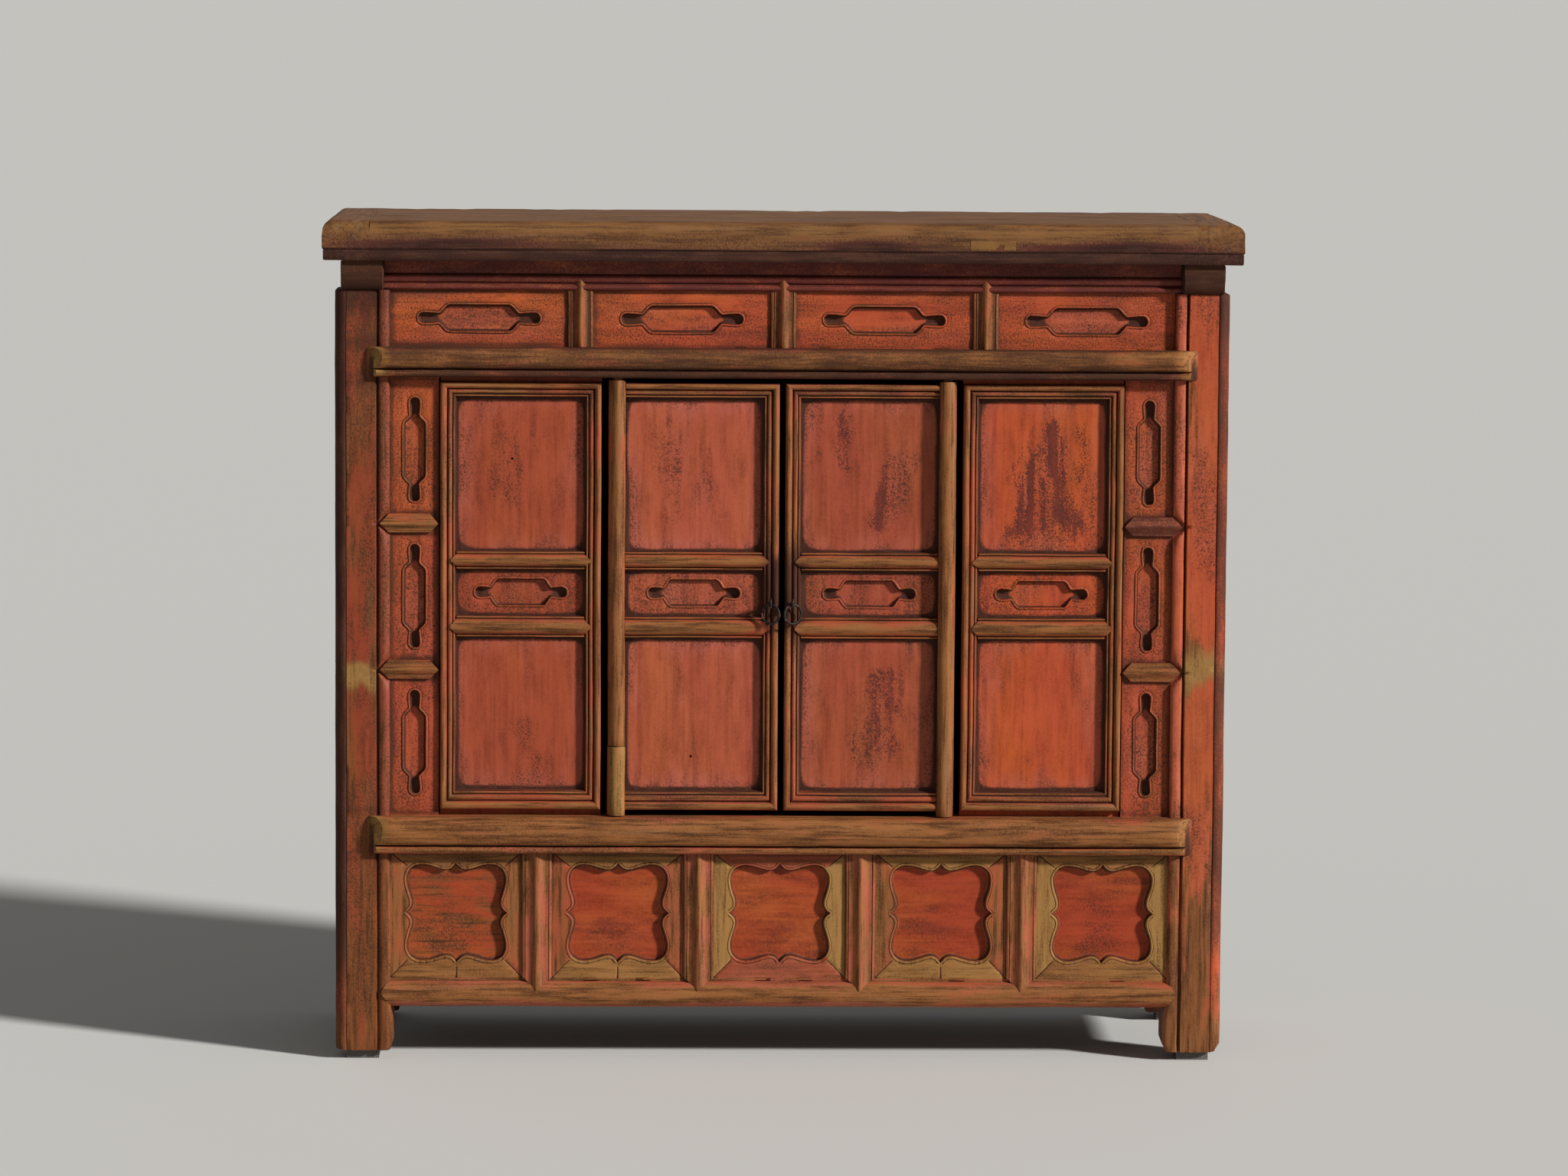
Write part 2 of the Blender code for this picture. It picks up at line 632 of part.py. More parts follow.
# Columns beside the posts: one board each with three carved fields, and two muntins over it
muntin_centres = [lower_rail_top + DOORWAY_HEIGHT * share for share in (1 / 3, 2 / 3)]
for side, word in ((-1, "left"), (1, "right")):
    post = posts_front[0] if side < 0 else posts_front[1]
    board_front = front + COLUMN_PANEL_SETBACK
    inner = side * column_in
    outer = side * (post_in + HOUSING)
    low = (min(inner, outer), board_front, lower_rail_top - HOUSING)
    high = (max(inner, outer), board_front + COLUMN_PANEL_THICKNESS, upper_rail_low + HOUSING)
    board = block(low, high)
    levels = [lower_rail_top] + muntin_centres + [upper_rail_low]
    middle = side * (column_in + post_in) / 2
    for bottom, over in zip(levels, levels[1:]):
        outline = turned(field_outline(COLUMN_FIELD_LENGTH, COLUMN_FIELD_HEIGHT, COLUMN_FIELD_ARM))
        outline = moved(outline, middle, (bottom + over) / 2)
        cutter = prism([outline], "Y", board_front - FIELD_DEPTH, board_front + FIELD_DEPTH)
        combine(board, "DIFFERENCE", [cutter])
    as_part(board, f"column_panel_{word}", "lacquer")
    groove(low, high, lower_rail, upper_rail, post)
    for level, place in zip(muntin_centres, ("lower", "upper")):
        half = MUNTIN_HEIGHT / 2
        near = column_in + SEAT
        far = post_in
        wide = half * 1.4
        run = MUNTIN_POINT * 1.4
        outline = [(near, level), (near + run, level - wide), (far + MUNTIN_POINT - run, level - wide)]
        outline += [(far + MUNTIN_POINT, level), (far + MUNTIN_POINT - run, level + wide), (near + run, level + wide)]
        back = board_front - SEAT
        section = [(v, u) for u, v in ridge_section(level - half, level + half, back - 0.003, back - MUNTIN_THICKNESS, back)]
        ends = [side * (near - SEAT), side * (far + MUNTIN_POINT + SEAT)]
        bar = prism([section], "X", min(ends), max(ends))
        combine(bar, "INTERSECT", [prism([mirrored(outline, side)], "Y", front - RAIL_DEPTH, front + RAIL_DEPTH)])
        as_part(bar, f"column_muntin_{word}_{place}", "worn_frame")
        notch = [(far - SEAT, level - half - SEAT * 2), (far, level - half - SEAT * 2)]
        notch += [(far + MUNTIN_POINT + SEAT * 2, level), (far, level + half + SEAT * 2)]
        notch += [(far - SEAT, level + half + SEAT * 2)]
        cutter = prism([mirrored(notch, side)], "Y", front - RAIL_DEPTH, board_front)
        combine(post, "DIFFERENCE", [cutter])

# Leaves and doors share their rail levels
frame_low = lower_rail_top + FRAME_FOOT_GAP
frame_high = upper_rail_low - FRAME_HEAD_GAP
rails = FRAME_TOP_RAIL + FRAME_UPPER_MIDDLE_RAIL + FRAME_LOWER_MIDDLE_RAIL + FRAME_FOOT_RAIL
tall_field = (frame_high - frame_low - rails - FRAME_MIDDLE_FIELD) / 2
fields = []
level = frame_low + FRAME_FOOT_RAIL
for tall, over in (
    (tall_field, FRAME_LOWER_MIDDLE_RAIL),
    (FRAME_MIDDLE_FIELD, FRAME_UPPER_MIDDLE_RAIL),
    (tall_field, FRAME_TOP_RAIL),
):
    fields.append((level, level + tall))
    level += tall + over
field_middle = (fields[1][0] + fields[1][1]) / 2


def rounded_frame(outlines, face, name):
    """A flat frame whose front arrises are rounded off; face is the plane of its front."""
    frame = prism(outlines, "Y", face, face + FRAME_THICKNESS)
    modifier = frame.modifiers.new("arris", "BEVEL")
    modifier.width = FRAME_ROUND
    modifier.segments = 2
    modifier.limit_method = "WEIGHT"
    shape = bmesh.new()
    shape.from_mesh(frame.data)
    bmesh.ops.dissolve_limit(shape, angle_limit=0.01, verts=shape.verts, edges=shape.edges)
    weight = shape.edges.layers.float.new("bevel_weight_edge")
    for edge in shape.edges:
        at_face = all(vert.co.y < 0 for vert in edge.verts)
        edge[weight] = 1.0 if at_face and edge.calc_face_angle(0.0) > 1.0 else 0.0
    shape.to_mesh(frame.data)
    shape.free()
    return as_part(frame, name, "worn_frame")


def carve_middle(board, middle, face):
    """Cuts the carved field into the middle of a leaf's board."""
    outline = moved(field_outline(LEAF_FIELD_LENGTH, LEAF_FIELD_HEIGHT, LEAF_FIELD_ARM), middle, field_middle)
    combine(board, "DIFFERENCE", [prism([outline], "Y", face - FIELD_DEPTH, face + FIELD_DEPTH)])


for side, word in ((-1, "left"), (1, "right")):
    face = front + LEAF_SETBACK
    outer = [mirrored(rectangle(leaf_in, frame_low, leaf_out, frame_high), side)]
    holes = [rectangle(leaf_in + FRAME_STILE, low, leaf_out - FRAME_STILE, high) for low, high in fields]
    rounded_frame(outer + [mirrored(hole, side) for hole in holes], face, f"leaf_frame_{word}")
    board_front = face + FRAME_THICKNESS + SEAT
    ends = sorted((side * leaf_in, side * leaf_out))
    low = (ends[0], board_front, lower_rail_top - HOUSING)
    high = (ends[1], board_front + BOARD_THICKNESS, upper_rail_low + HOUSING)
    board = block(low, high)
    carve_middle(board, side * (leaf_in + leaf_out) / 2, board_front)
    as_part(board, f"leaf_panel_{word}", "lacquer")
    groove(low, high, lower_rail, upper_rail)

pivot_radius = PIVOT_STILE_WIDTH / 2
pivot_x = door_out - pivot_radius
pivot_y = front - PIVOT_STILE_PROUD + pivot_radius
board_front = front - DOOR_PROUD + FRAME_THICKNESS + SEAT
stile_back = board_front + BOARD_THICKNESS + 0.003
stile_flat = pivot_x - pivot_radius * 0.85
ring_level = (frame_low + frame_high) / 2 - RING_DROP
stile_middle = door_in + FRAME_STILE / 2
eye_y = front - DOOR_PROUD - EYE_STANDOFF - EYE_RADIUS
for side, word in ((-1, "left"), (1, "right")):
    swing = bpy.data.objects.new(f"door_axis_{word}", None)
    swing.location = (side * pivot_x, pivot_y, frame_low)
    parts.objects.link(swing)

    round_end = arc(pivot_x, pivot_y, pivot_radius, pivot_radius, 0, -148, 12)
    section = [(stile_flat, stile_back), (door_out, stile_back)] + round_end
    section += [(stile_flat, round_end[-1][1])]
    stile = prism([mirrored(section, side)], "Z", lower_rail_top + SEAT, upper_rail_low - PIVOT_LIFT)
    foot = rod((side * pivot_x, pivot_y, lower_rail_top), "Z", PIVOT_PIN_RADIUS, PIVOT_FOOT_PIN * 2)
    head = rod((side * pivot_x, pivot_y, upper_rail_low), "Z", PIVOT_PIN_RADIUS, PIVOT_HEAD_PIN * 2)
    combine(stile, "UNION", [foot, head])
    as_part(stile, f"door_pivot_stile_{word}", "worn_frame")
    for rail, level, depth in (
        (lower_rail, lower_rail_top, PIVOT_FOOT_PIN),
        (upper_rail, upper_rail_low, PIVOT_HEAD_PIN + PIVOT_LIFT),
    ):
        socket_depth = (depth + PIVOT_PLAY) * 2
        socket = rod((side * pivot_x, pivot_y, level), "Z", PIVOT_PIN_RADIUS + PIVOT_PLAY, socket_depth)
        combine(rail, "DIFFERENCE", [socket])

    arm = stile_flat - SEAT
    comb = [(door_in, frame_low), (arm, frame_low)]
    for low, high in fields:
        comb += [(arm, low), (door_in + FRAME_STILE, low), (door_in + FRAME_STILE, high), (arm, high)]
    comb += [(arm, frame_high), (door_in, frame_high)]
    frame = rounded_frame([mirrored(comb, side)], front - DOOR_PROUD, f"door_frame_{word}")
    shank_hole = SHANK_LENGTH + SEAT
    face = front - DOOR_PROUD
    hole = rod((side * stile_middle, face, ring_level), "Y", EYE_WIRE + SEAT * 2, shank_hole * 2, 12)
    combine(frame, "DIFFERENCE", [hole])

    edge = stile_flat + HOUSING
    ends = sorted((side * door_in, side * edge))
    low = (ends[0], board_front, frame_low)
    high = (ends[1], board_front + BOARD_THICKNESS, frame_high)
    board = block(low, high)
    carve_middle(board, side * (door_in + FRAME_STILE + stile_flat) / 2, board_front)
    as_part(board, f"door_panel_{word}", "lacquer")
    groove(low, high, stile)

    eye = wire_ring(EYE_RADIUS, EYE_WIRE, 20, Matrix.Rotation(pi / 2, 4, "Y"))
    eye.location = (side * stile_middle, eye_y, ring_level)
    shank_start = eye_y + EYE_RADIUS - EYE_WIRE * 0.4
    shank_end = face + SHANK_LENGTH
    shank_middle = (side * stile_middle, (shank_start + shank_end) / 2, ring_level)
    shank = rod(shank_middle, "Y", EYE_WIRE * 0.96, shank_end - shank_start, 12)
    combine(eye, "UNION", [shank])
    as_part(eye, f"ring_staple_{word}", "iron")

    hang = bpy.data.objects.new(f"ring_axis_{word}", None)
    hang_level = ring_level - EYE_RADIUS + EYE_WIRE + RING_WIRE + RING_PLAY
    hang.location = (side * stile_middle, eye_y, hang_level)
    parts.objects.link(hang)
    twist = Matrix.Rotation(radians(side * RING_TWIST), 4, "Z") @ Matrix.Rotation(pi / 2, 4, "X")
    ring = wire_ring(RING_RADIUS, RING_WIRE, 28, Matrix.Translation((0, 0, -RING_RADIUS)) @ twist)
    as_part(ring, f"ring_pull_{word}", "iron")
    ring.parent = hang
    hang.parent = swing
    hang.matrix_parent_inverse = Matrix.Translation(-swing.location)
    for piece in (stile, frame, board, eye):
        piece.parent = swing
        piece.matrix_parent_inverse = Matrix.Translation(-swing.location)

# Sides, back and floor
side_rails = []
side_panels = []
for side, word in ((-1, "left"), (1, "right")):
    pair = (posts_front[0], posts_back[0]) if side < 0 else (posts_front[1], posts_back[1])
    outer = side * (post_out - SIDE_PANEL_SETBACK)
    inner = side * (post_out - SIDE_PANEL_SETBACK - HIDDEN_RAIL_THICKNESS)
    low = (min(inner, outer), front_back + SEAT, bottom_rail_low)
    high = (max(inner, outer), rear_front - SEAT, bottom_rail_top)
    rail = block(low, high)
    tenon_low = (low[0] + TENON_SHOULDER, front_back - TENON_LENGTH, bottom_rail_low + TENON_SHOULDER)
    tenon_high = (high[0] - TENON_SHOULDER, rear_front + TENON_LENGTH, bottom_rail_top - TENON_SHOULDER)
    combine(rail, "UNION", [block(tenon_low, tenon_high)])
    as_part(rail, f"side_bottom_rail_{word}", "dark_wood")
    groove(tenon_low, tenon_high, *pair)
    inner = side * (post_out - SIDE_PANEL_SETBACK - HIDDEN_RAIL_THICKNESS / 2 - SIDE_PANEL_THICKNESS / 2)
    outer = inner + side * SIDE_PANEL_THICKNESS
    low = (min(inner, outer), front_back - HOUSING, bottom_rail_top - HOUSING)
    high = (max(inner, outer), rear_front + HOUSING, frieze_top - SEAT * 2)
    panel = as_part(block(low, high), f"side_panel_{word}", "dark_wood")
    groove(low, high, rail, *pair)
    side_rails.append(rail)
    side_panels.append((panel, inner))

back_outer = rear - BACK_PANEL_SETBACK
back_rail = block(
    (-(post_in - SEAT), back_outer - HIDDEN_RAIL_THICKNESS, bottom_rail_low),
    (post_in - SEAT, back_outer, bottom_rail_top),
)
back_middle = back_outer - HIDDEN_RAIL_THICKNESS / 2
combine(back_rail, "UNION", tenon_pair(bottom_rail_low, bottom_rail_top, back_middle, posts_back))
as_part(back_rail, "back_bottom_rail", "dark_wood")
panel_y = back_middle - BACK_PANEL_THICKNESS / 2
low = (-post_in - HOUSING, panel_y, bottom_rail_top - HOUSING)
high = (post_in + HOUSING, panel_y + BACK_PANEL_THICKNESS, under_top - SEAT * 2)
back_panel = as_part(block(low, high), "back_panel", "dark_wood")
groove(low, high, back_rail, *posts_back)

floor_top = lower_rail_top - FLOOR_DROP
floor_low = floor_top - FLOOR_THICKNESS
floor_side = abs(side_panels[0][1])
floor_front = front + RAIL_DEPTH
wide = floor_side + HOUSING
narrow = post_in - SEAT
y0 = floor_front - HOUSING
y1 = front_back + SEAT
y2 = rear_front - SEAT
y3 = panel_y + HOUSING
outline = [(-narrow, y0), (narrow, y0), (narrow, y1), (wide, y1), (wide, y2), (narrow, y2), (narrow, y3)]
outline += [(-narrow, y3), (-narrow, y2), (-wide, y2), (-wide, y1), (-narrow, y1)]
as_part(prism([outline], "Z", floor_low, floor_top), "floor_board", "dark_wood")
groove((-post_in, y0, floor_low), (post_in, floor_front + HOUSING, floor_top), lower_rail)
groove((-narrow, panel_y - HOUSING, floor_low), (narrow, y3, floor_top), back_panel)
for side, (panel, inner) in zip((-1, 1), side_panels):
    groove((inner - side * HOUSING, y1, floor_low), (side * wide, y2, floor_top), panel)

cut_grooves()
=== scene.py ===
import json
import math

import bmesh
import bpy
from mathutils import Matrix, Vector, geometry, noise


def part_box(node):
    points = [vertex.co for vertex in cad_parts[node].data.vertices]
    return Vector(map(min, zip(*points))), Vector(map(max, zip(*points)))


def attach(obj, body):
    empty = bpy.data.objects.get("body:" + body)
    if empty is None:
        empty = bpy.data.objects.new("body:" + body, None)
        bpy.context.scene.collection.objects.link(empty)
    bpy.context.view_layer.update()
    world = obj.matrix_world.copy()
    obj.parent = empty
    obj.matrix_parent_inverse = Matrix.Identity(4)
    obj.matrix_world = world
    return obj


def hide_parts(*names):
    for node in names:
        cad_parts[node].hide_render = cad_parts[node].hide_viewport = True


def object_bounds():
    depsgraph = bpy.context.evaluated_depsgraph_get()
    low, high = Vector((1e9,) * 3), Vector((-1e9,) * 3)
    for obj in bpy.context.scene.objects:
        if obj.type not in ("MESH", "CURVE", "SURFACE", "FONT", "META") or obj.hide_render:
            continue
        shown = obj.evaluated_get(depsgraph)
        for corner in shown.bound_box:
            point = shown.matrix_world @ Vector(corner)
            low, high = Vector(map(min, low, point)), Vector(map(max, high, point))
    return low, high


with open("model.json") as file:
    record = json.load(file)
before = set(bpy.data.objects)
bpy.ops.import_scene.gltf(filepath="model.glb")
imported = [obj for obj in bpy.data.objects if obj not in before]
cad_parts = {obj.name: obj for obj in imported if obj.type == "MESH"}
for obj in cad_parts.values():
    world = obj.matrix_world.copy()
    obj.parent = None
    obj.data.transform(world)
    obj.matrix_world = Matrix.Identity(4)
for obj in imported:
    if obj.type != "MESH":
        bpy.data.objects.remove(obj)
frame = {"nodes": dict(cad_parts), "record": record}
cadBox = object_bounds()
record = frame["record"]
bodyOf = {node: body for body, nodes in record["behaviour"]["bodies"].items() for node in nodes}
slotOf = {part["node"]: part["material_slot"] for part in record["subparts"]}
sides = (("left", -1), ("right", 1))
seat = 0.0003  # room between a fixed piece and its neighbour
tongue = 0.004  # how far a panel sits in its grooves
print("frame loaded:", len(bodyOf), "nodes")

# planes of the front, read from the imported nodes
postLow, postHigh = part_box("post_front_right")
postIn, postOut = postLow.x, postHigh.x
front, frontBack = postLow.y, postHigh.y
footLow = postLow.z
bottomLow, bottomTop = [corner.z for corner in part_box("bottom_rail")]
lowerLow, lowerTop = [corner.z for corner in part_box("lower_rail")]
upperLow, upperTop = [corner.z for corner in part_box("upper_rail")]
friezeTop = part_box("front_top_rail")[0].z
topLow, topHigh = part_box("top_board")
topFront, topBack = topLow.y, topHigh.y
underTop, topHeight = topLow.z, topHigh.z


def smooth(low, high, value):  # 0 below low, 1 above high
    share = min(1.0, max(0.0, (value - low) / (high - low)))
    return share * share * (3 - 2 * share)


def near(value, middle, reach):  # 1 at the middle, 0 beyond the reach
    return 1.0 - smooth(0.0, reach, abs(value - middle))


def ink(red, green, blue):  # a screen colour as the linear one that shaders use
    parts = [part / 255 for part in (red, green, blue)]
    return (*[part / 12.92 if part < 0.04 else ((part + 0.055) / 1.055) ** 2.4 for part in parts], 1.0)


def tints(**colours):
    return {name: ink(*colour) for name, colour in colours.items()}


def plug(tree, socket, value):  # a link for a wire, or else a plain value
    if isinstance(value, Wire):
        tree.links.new(value.socket, socket)
    else:
        socket.default_value = value


def operation(kind, swapped=False):
    def made(wire, other):
        node = wire.tree.nodes.new("ShaderNodeMath")
        node.operation = kind
        for socket, value in zip(node.inputs, (other, wire) if swapped else (wire, other)):
            plug(wire.tree, socket, value)
        return Wire(wire.tree, node.outputs[0])

    return made


class Wire:  # a node's output, so that shader maths reads as Python; a | b shows where either mask does
    __add__, __radd__ = operation("ADD"), operation("ADD", True)
    __sub__, __rsub__ = operation("SUBTRACT"), operation("SUBTRACT", True)
    __mul__, __rmul__ = operation("MULTIPLY"), operation("MULTIPLY", True)
    __or__, __ror__ = operation("MAXIMUM"), operation("MAXIMUM", True)

    def __init__(self, tree, socket):
        self.tree = tree
        self.socket = socket


class Finish:  # the nodes of a material, or of the world
    def __init__(self, name, world=None):
        self.owner = world or bpy.data.materials.new(name)
        self.owner.use_nodes = True
        self.tree = self.owner.node_tree
        self.shader = self.tree.nodes.get("Principled BSDF")

    def node(self, kind, settings, sockets, output=0):
        node = self.tree.nodes.new(kind)
        for name, value in settings.items():
            setattr(node, name, value)
        for name, value in sockets.items():
            plug(self.tree, node.inputs[name], value)
        return Wire(self.tree, node.outputs[output])

    def spot(self, stretch=(1, 1, 1)):  # the place on the piece at rest, drawn out along the grain
        place = self.node("ShaderNodeTexCoord", {}, {}, "Object")
        return self.node("ShaderNodeMapping", {}, {"Vector": place, "Scale": stretch})

    def noise(self, spot, scale, detail=3.0, rough=0.55):  # values about zero
        sockets = {"Vector": spot, "Scale": scale, "Detail": detail, "Roughness": rough}
        return self.node("ShaderNodeTexNoise", {}, sockets) - 0.5

    def ramp(self, value, low, high):
        sockets = {"Value": value, "From Min": low, "From Max": high}
        return self.node("ShaderNodeMapRange", {"interpolation_type": "SMOOTHSTEP"}, sockets)

    def mix(self, first, second, share, way="MIX"):
        settings = {"data_type": "RGBA", "blend_type": way}
        return self.node("ShaderNodeMix", settings, {0: share, 6: first, 7: second}, 2)

    def mark(self, name):
        return self.node("ShaderNodeAttribute", {"attribute_name": name}, {}, "Fac")

    def bump(self, strength, distance, height):
        return self.node("ShaderNodeBump", {}, {"Strength": strength, "Distance": distance, "Height": height})

    def wear(self, sockets):
        for name, value in sockets.items():
            plug(self.tree, self.shader.inputs[name], value)
        return self.owner


# Old lacquer: red over wood, worn through, cracked, and darkened with grime and with painted shade where the
# marks carry it
lacquerLook = {
    **tints(red=(164, 74, 48), orange=(168, 82, 42), rosy=(168, 90, 72), deepRed=(126, 52, 35)),
    **tints(wood=(140, 90, 49), woodDark=(84, 50, 25), woodGrey=(130, 104, 80), olive=(152, 116, 64)),
    **tints(grime=(38, 20, 15), soil=(70, 42, 29), maroon=(80, 33, 33)),
    "wash": (0.50, 0.40, 0.33, 1.0),
    "patina": 0.75,
    "crackle": 0.9,
    "age": 0.0,
    "spread": 0.0,
    "pores": 0.8,
    "gloss": 0.52,
    "shine": 0.14,
    "streak": 0.05,
    "drawn": 0.3,
}
markNames = ("worn", "grime", "stain", "tone", "bloom", "cracks")


def agedLacquer(name, grain, changes):
    look = {**lacquerLook, **changes}
    finish = Finish(name)
    mix, ramp = finish.mix, finish.ramp
    spot = finish.spot()
    streaky = finish.spot([look["streak"] if axis == grain else 1 for axis in "XYZ"])
    drawn = finish.spot([look["drawn"] if axis == grain else 1 for axis in "XYZ"])
    worn, grime, stain, tone, bloom, cracks = [finish.mark(mark) for mark in markNames]
    cloud = finish.noise(drawn, 9.0, 4.0)
    drift = finish.noise(drawn, 19.0, 3.0)
    patch = finish.noise(drawn, 62.0, 4.0, 0.6)
    grit = finish.noise(spot, 400.0, 2.0, 0.6)
    fibre = finish.noise(streaky, 210.0, 4.0, 0.7)
    band = finish.noise(streaky, 62.0, 3.0, 0.6)
    runs = finish.noise(streaky, 95.0, 4.0, 0.6)

    # lacquer, and the wood where it is worn through
    red = mix(look["red"], look["orange"], ramp(cloud, -0.08, 0.16))
    red = mix(red, look["rosy"], ramp(drift + bloom * 0.45, 0.0, 0.4) * 0.6)
    red = mix(red, look["deepRed"], ramp(band, -0.02, 0.24) * 0.4)
    wood = mix(look["wood"], look["woodDark"], ramp(fibre, -0.08, 0.18) * 0.8)
    wood = mix(wood, look["woodGrey"], ramp(band, 0.05, 0.28) * 0.4)
    wood = mix(wood, look["olive"], ramp(tone, 0.0, 1.0) * 0.75)
    bare = ramp(worn + patch + fibre * 0.7 + grit * 0.15, 0.32, 0.72)
    colour = mix(red, wood, bare)
    pores = ramp(fibre + grit * 0.4, 0.03, 0.2) * (0.2 + bare * 0.55)
    colour = mix(colour, look["woodDark"], pores * look["pores"])
    murk = ramp(patch * 0.9 + fibre * 0.7 + drift * 0.5 + grit * 0.5, -0.3, 0.4)
    colour = mix(colour, look["wash"], murk * look["patina"], "MULTIPLY")

    # dried stains, and a dark veil where the tone is below zero
    wet = stain + runs * 1.5 + grit * 0.9 + patch * 0.7
    spill = ramp(wet, 0.38 - look["spread"], 0.7 + look["spread"])
    dried = mix(look["maroon"], look["deepRed"], ramp(runs * 0.5 + grit * 0.5, -0.04, 0.12) * 0.6)
    colour = mix(colour, dried, spill * 0.86)
    veil = ramp(patch * 0.8 + grit * 0.7 - tone, 0.25, 0.85)
    colour = mix(colour, look["maroon"], veil * 0.88)

    # crackle, and grime: dirt, and painted shade where the marks put it
    swirl = finish.node("ShaderNodeTexNoise", {}, {"Vector": spot, "Scale": 160.0}, "Color")
    sway = {0: swirl, 1: (0.008, 0.008, 0.008), 2: spot}
    bent = finish.node("ShaderNodeVectorMath", {"operation": "MULTIPLY_ADD"}, sway)
    cells = {"Vector": bent, "Scale": 260.0}
    gap = finish.node("ShaderNodeTexVoronoi", {"feature": "DISTANCE_TO_EDGE"}, cells)
    crack = 1 - ramp(gap - grit * 0.9, 0.02, 0.26)
    dots = ramp(grit + patch * 0.3, 0.045, 0.135)
    where = ramp(drift + cracks + grime * 0.2 + look["age"] + patch * 0.6, 0.06, 0.36)
    crackle = (crack * 0.4 | dots) * where * look["crackle"] * (1 - bare * 0.3)
    dirtAndShade = ramp(grime + patch * 0.5 + drift * 0.4 + fibre * 0.3 + grit * 0.4, 0.42, 1.06)
    dark = crackle * 0.86 | dirtAndShade * 0.92
    soil = mix(look["grime"], look["soil"], ramp(patch * 0.4 + fibre * 0.4 + grit * 0.2, -0.06, 0.12))
    colour = mix(colour, soil, dark)

    height = (1 - bare) * 0.35 + fibre * 0.35 + grit * 0.15 - crack * where * 0.5
    return finish.wear({
        "Base Color": colour,
        "Roughness": look["gloss"] + bare * 0.14 + dark * 0.2 + grit * 0.12,
        "Normal": finish.bump(0.4, 0.0008, height),
        "Specular IOR Level": look["shine"],
    })


frameTint = tints(red=(150, 71, 45), orange=(152, 80, 45), rosy=(158, 90, 70), deepRed=(116, 51, 35))
frameX = agedLacquer("worn_lacquer_lengthwise", "X", frameTint)
frameZ = agedLacquer("worn_lacquer_upright", "Z", frameTint)
# the left post's tints are darker than the right's: its own darker lacquer, and painted shade for the weaker
# light on the left
postTints = {
    "left": tints(red=(130, 57, 35), orange=(134, 68, 37), rosy=(140, 73, 55), wood=(122, 72, 37)),
    "right": tints(red=(170, 76, 46), orange=(168, 83, 46), rosy=(178, 93, 70), wood=(128, 80, 44)),
}
boardX = agedLacquer("carved_board_lacquer", "X", tints(red=(170, 74, 45), orange=(176, 86, 41)))
columnZ = agedLacquer("column_board_lacquer", "Z", {"age": 0.04})
boardTints = {
    "leaf_panel_left": tints(red=(152, 70, 45), orange=(156, 76, 41)),
    "door_panel_left": tints(red=(163, 78, 56), orange=(162, 82, 51), rosy=(180, 99, 84)),
    "door_panel_right": tints(red=(152, 71, 49), orange=(152, 77, 46)),
    "leaf_panel_right": tints(red=(170, 73, 44), orange=(177, 83, 38)),
}
apronTint = {
    **tints(red=(150, 59, 34), orange=(160, 78, 36), rosy=(154, 72, 52), maroon=(92, 35, 26)),
    "spread": 0.34,
    "pores": 0.5,
    "patina": 0.9,
}
apronBoard = agedLacquer("apron_board_lacquer", "X", apronTint)
dustyTop = {
    **tints(wood=(117, 78, 45), woodGrey=(126, 108, 96), woodDark=(82, 54, 34), olive=(128, 92, 49)),
    **tints(red=(106, 58, 42), orange=(114, 66, 43), rosy=(106, 66, 56), deepRed=(84, 44, 36)),
}
topX = agedLacquer("top_lengthwise", "X", dustyTop)
topY = agedLacquer("top_endwise", "Y", dustyTop)
darkSide = {
    **tints(red=(98, 53, 39), orange=(102, 64, 42), rosy=(92, 58, 48)),
    **tints(deepRed=(74, 41, 32), wood=(98, 71, 46)),
    "gloss": 0.6,
}
sideZ = agedLacquer("side_wood_upright", "Z", darkSide)
sideY = agedLacquer("side_wood_level", "Y", darkSide)
bareWood = {
    **tints(red=(98, 66, 46), orange=(110, 76, 50), rosy=(94, 64, 52)),
    **tints(deepRed=(70, 44, 32), wood=(112, 80, 54)),
    "crackle": 0.15,
    "gloss": 0.66,
}
plainX = agedLacquer("bare_wood_lengthwise", "X", bareWood)
plainZ = agedLacquer("bare_wood_upright", "Z", bareWood)

ironLook = {**tints(dark=(40, 34, 31), rust=(96, 58, 38)), "roughness": 0.62, "metal": 0.8}


def forgedIron():
    finish = Finish("forged_iron")
    spot = finish.spot()
    scale = finish.noise(spot, 900.0, 4.0, 0.65)
    rust = finish.ramp(finish.noise(spot, 260.0, 3.0), 0.0, 0.2)
    return finish.wear({
        "Base Color": finish.mix(ironLook["dark"], ironLook["rust"], rust * 0.7),
        "Roughness": ironLook["roughness"] + rust * 0.25,
        "Metallic": ironLook["metal"] - rust * 0.7,
        "Normal": finish.bump(0.5, 0.0004, scale),
    })


padLook = {**tints(felt=(112, 108, 104), shade=(70, 66, 64)), "roughness": 0.95, "shine": 0.2}


def footFelt():
    finish = Finish("foot_felt")
    fibre = finish.noise(finish.spot(), 700.0, 4.0, 0.7)
    return finish.wear({
        "Base Color": finish.mix(padLook["shade"], padLook["felt"], finish.ramp(fibre, -0.15, 0.15)),
        "Roughness": padLook["roughness"],
        "Normal": finish.bump(0.6, 0.0006, fibre),
        "Specular IOR Level": padLook["shine"],
    })


iron = forgedIron()
felt = footFelt()
print("finishes mixed")


class Marks:  # how far each kind of age, and the painted shade carried with the grime, has gone at one place
    def __init__(self, worn, grime, tone):
        self.worn, self.grime, self.tone = worn, grime, tone
        self.stain = self.bloom = self.cracks = 0.0


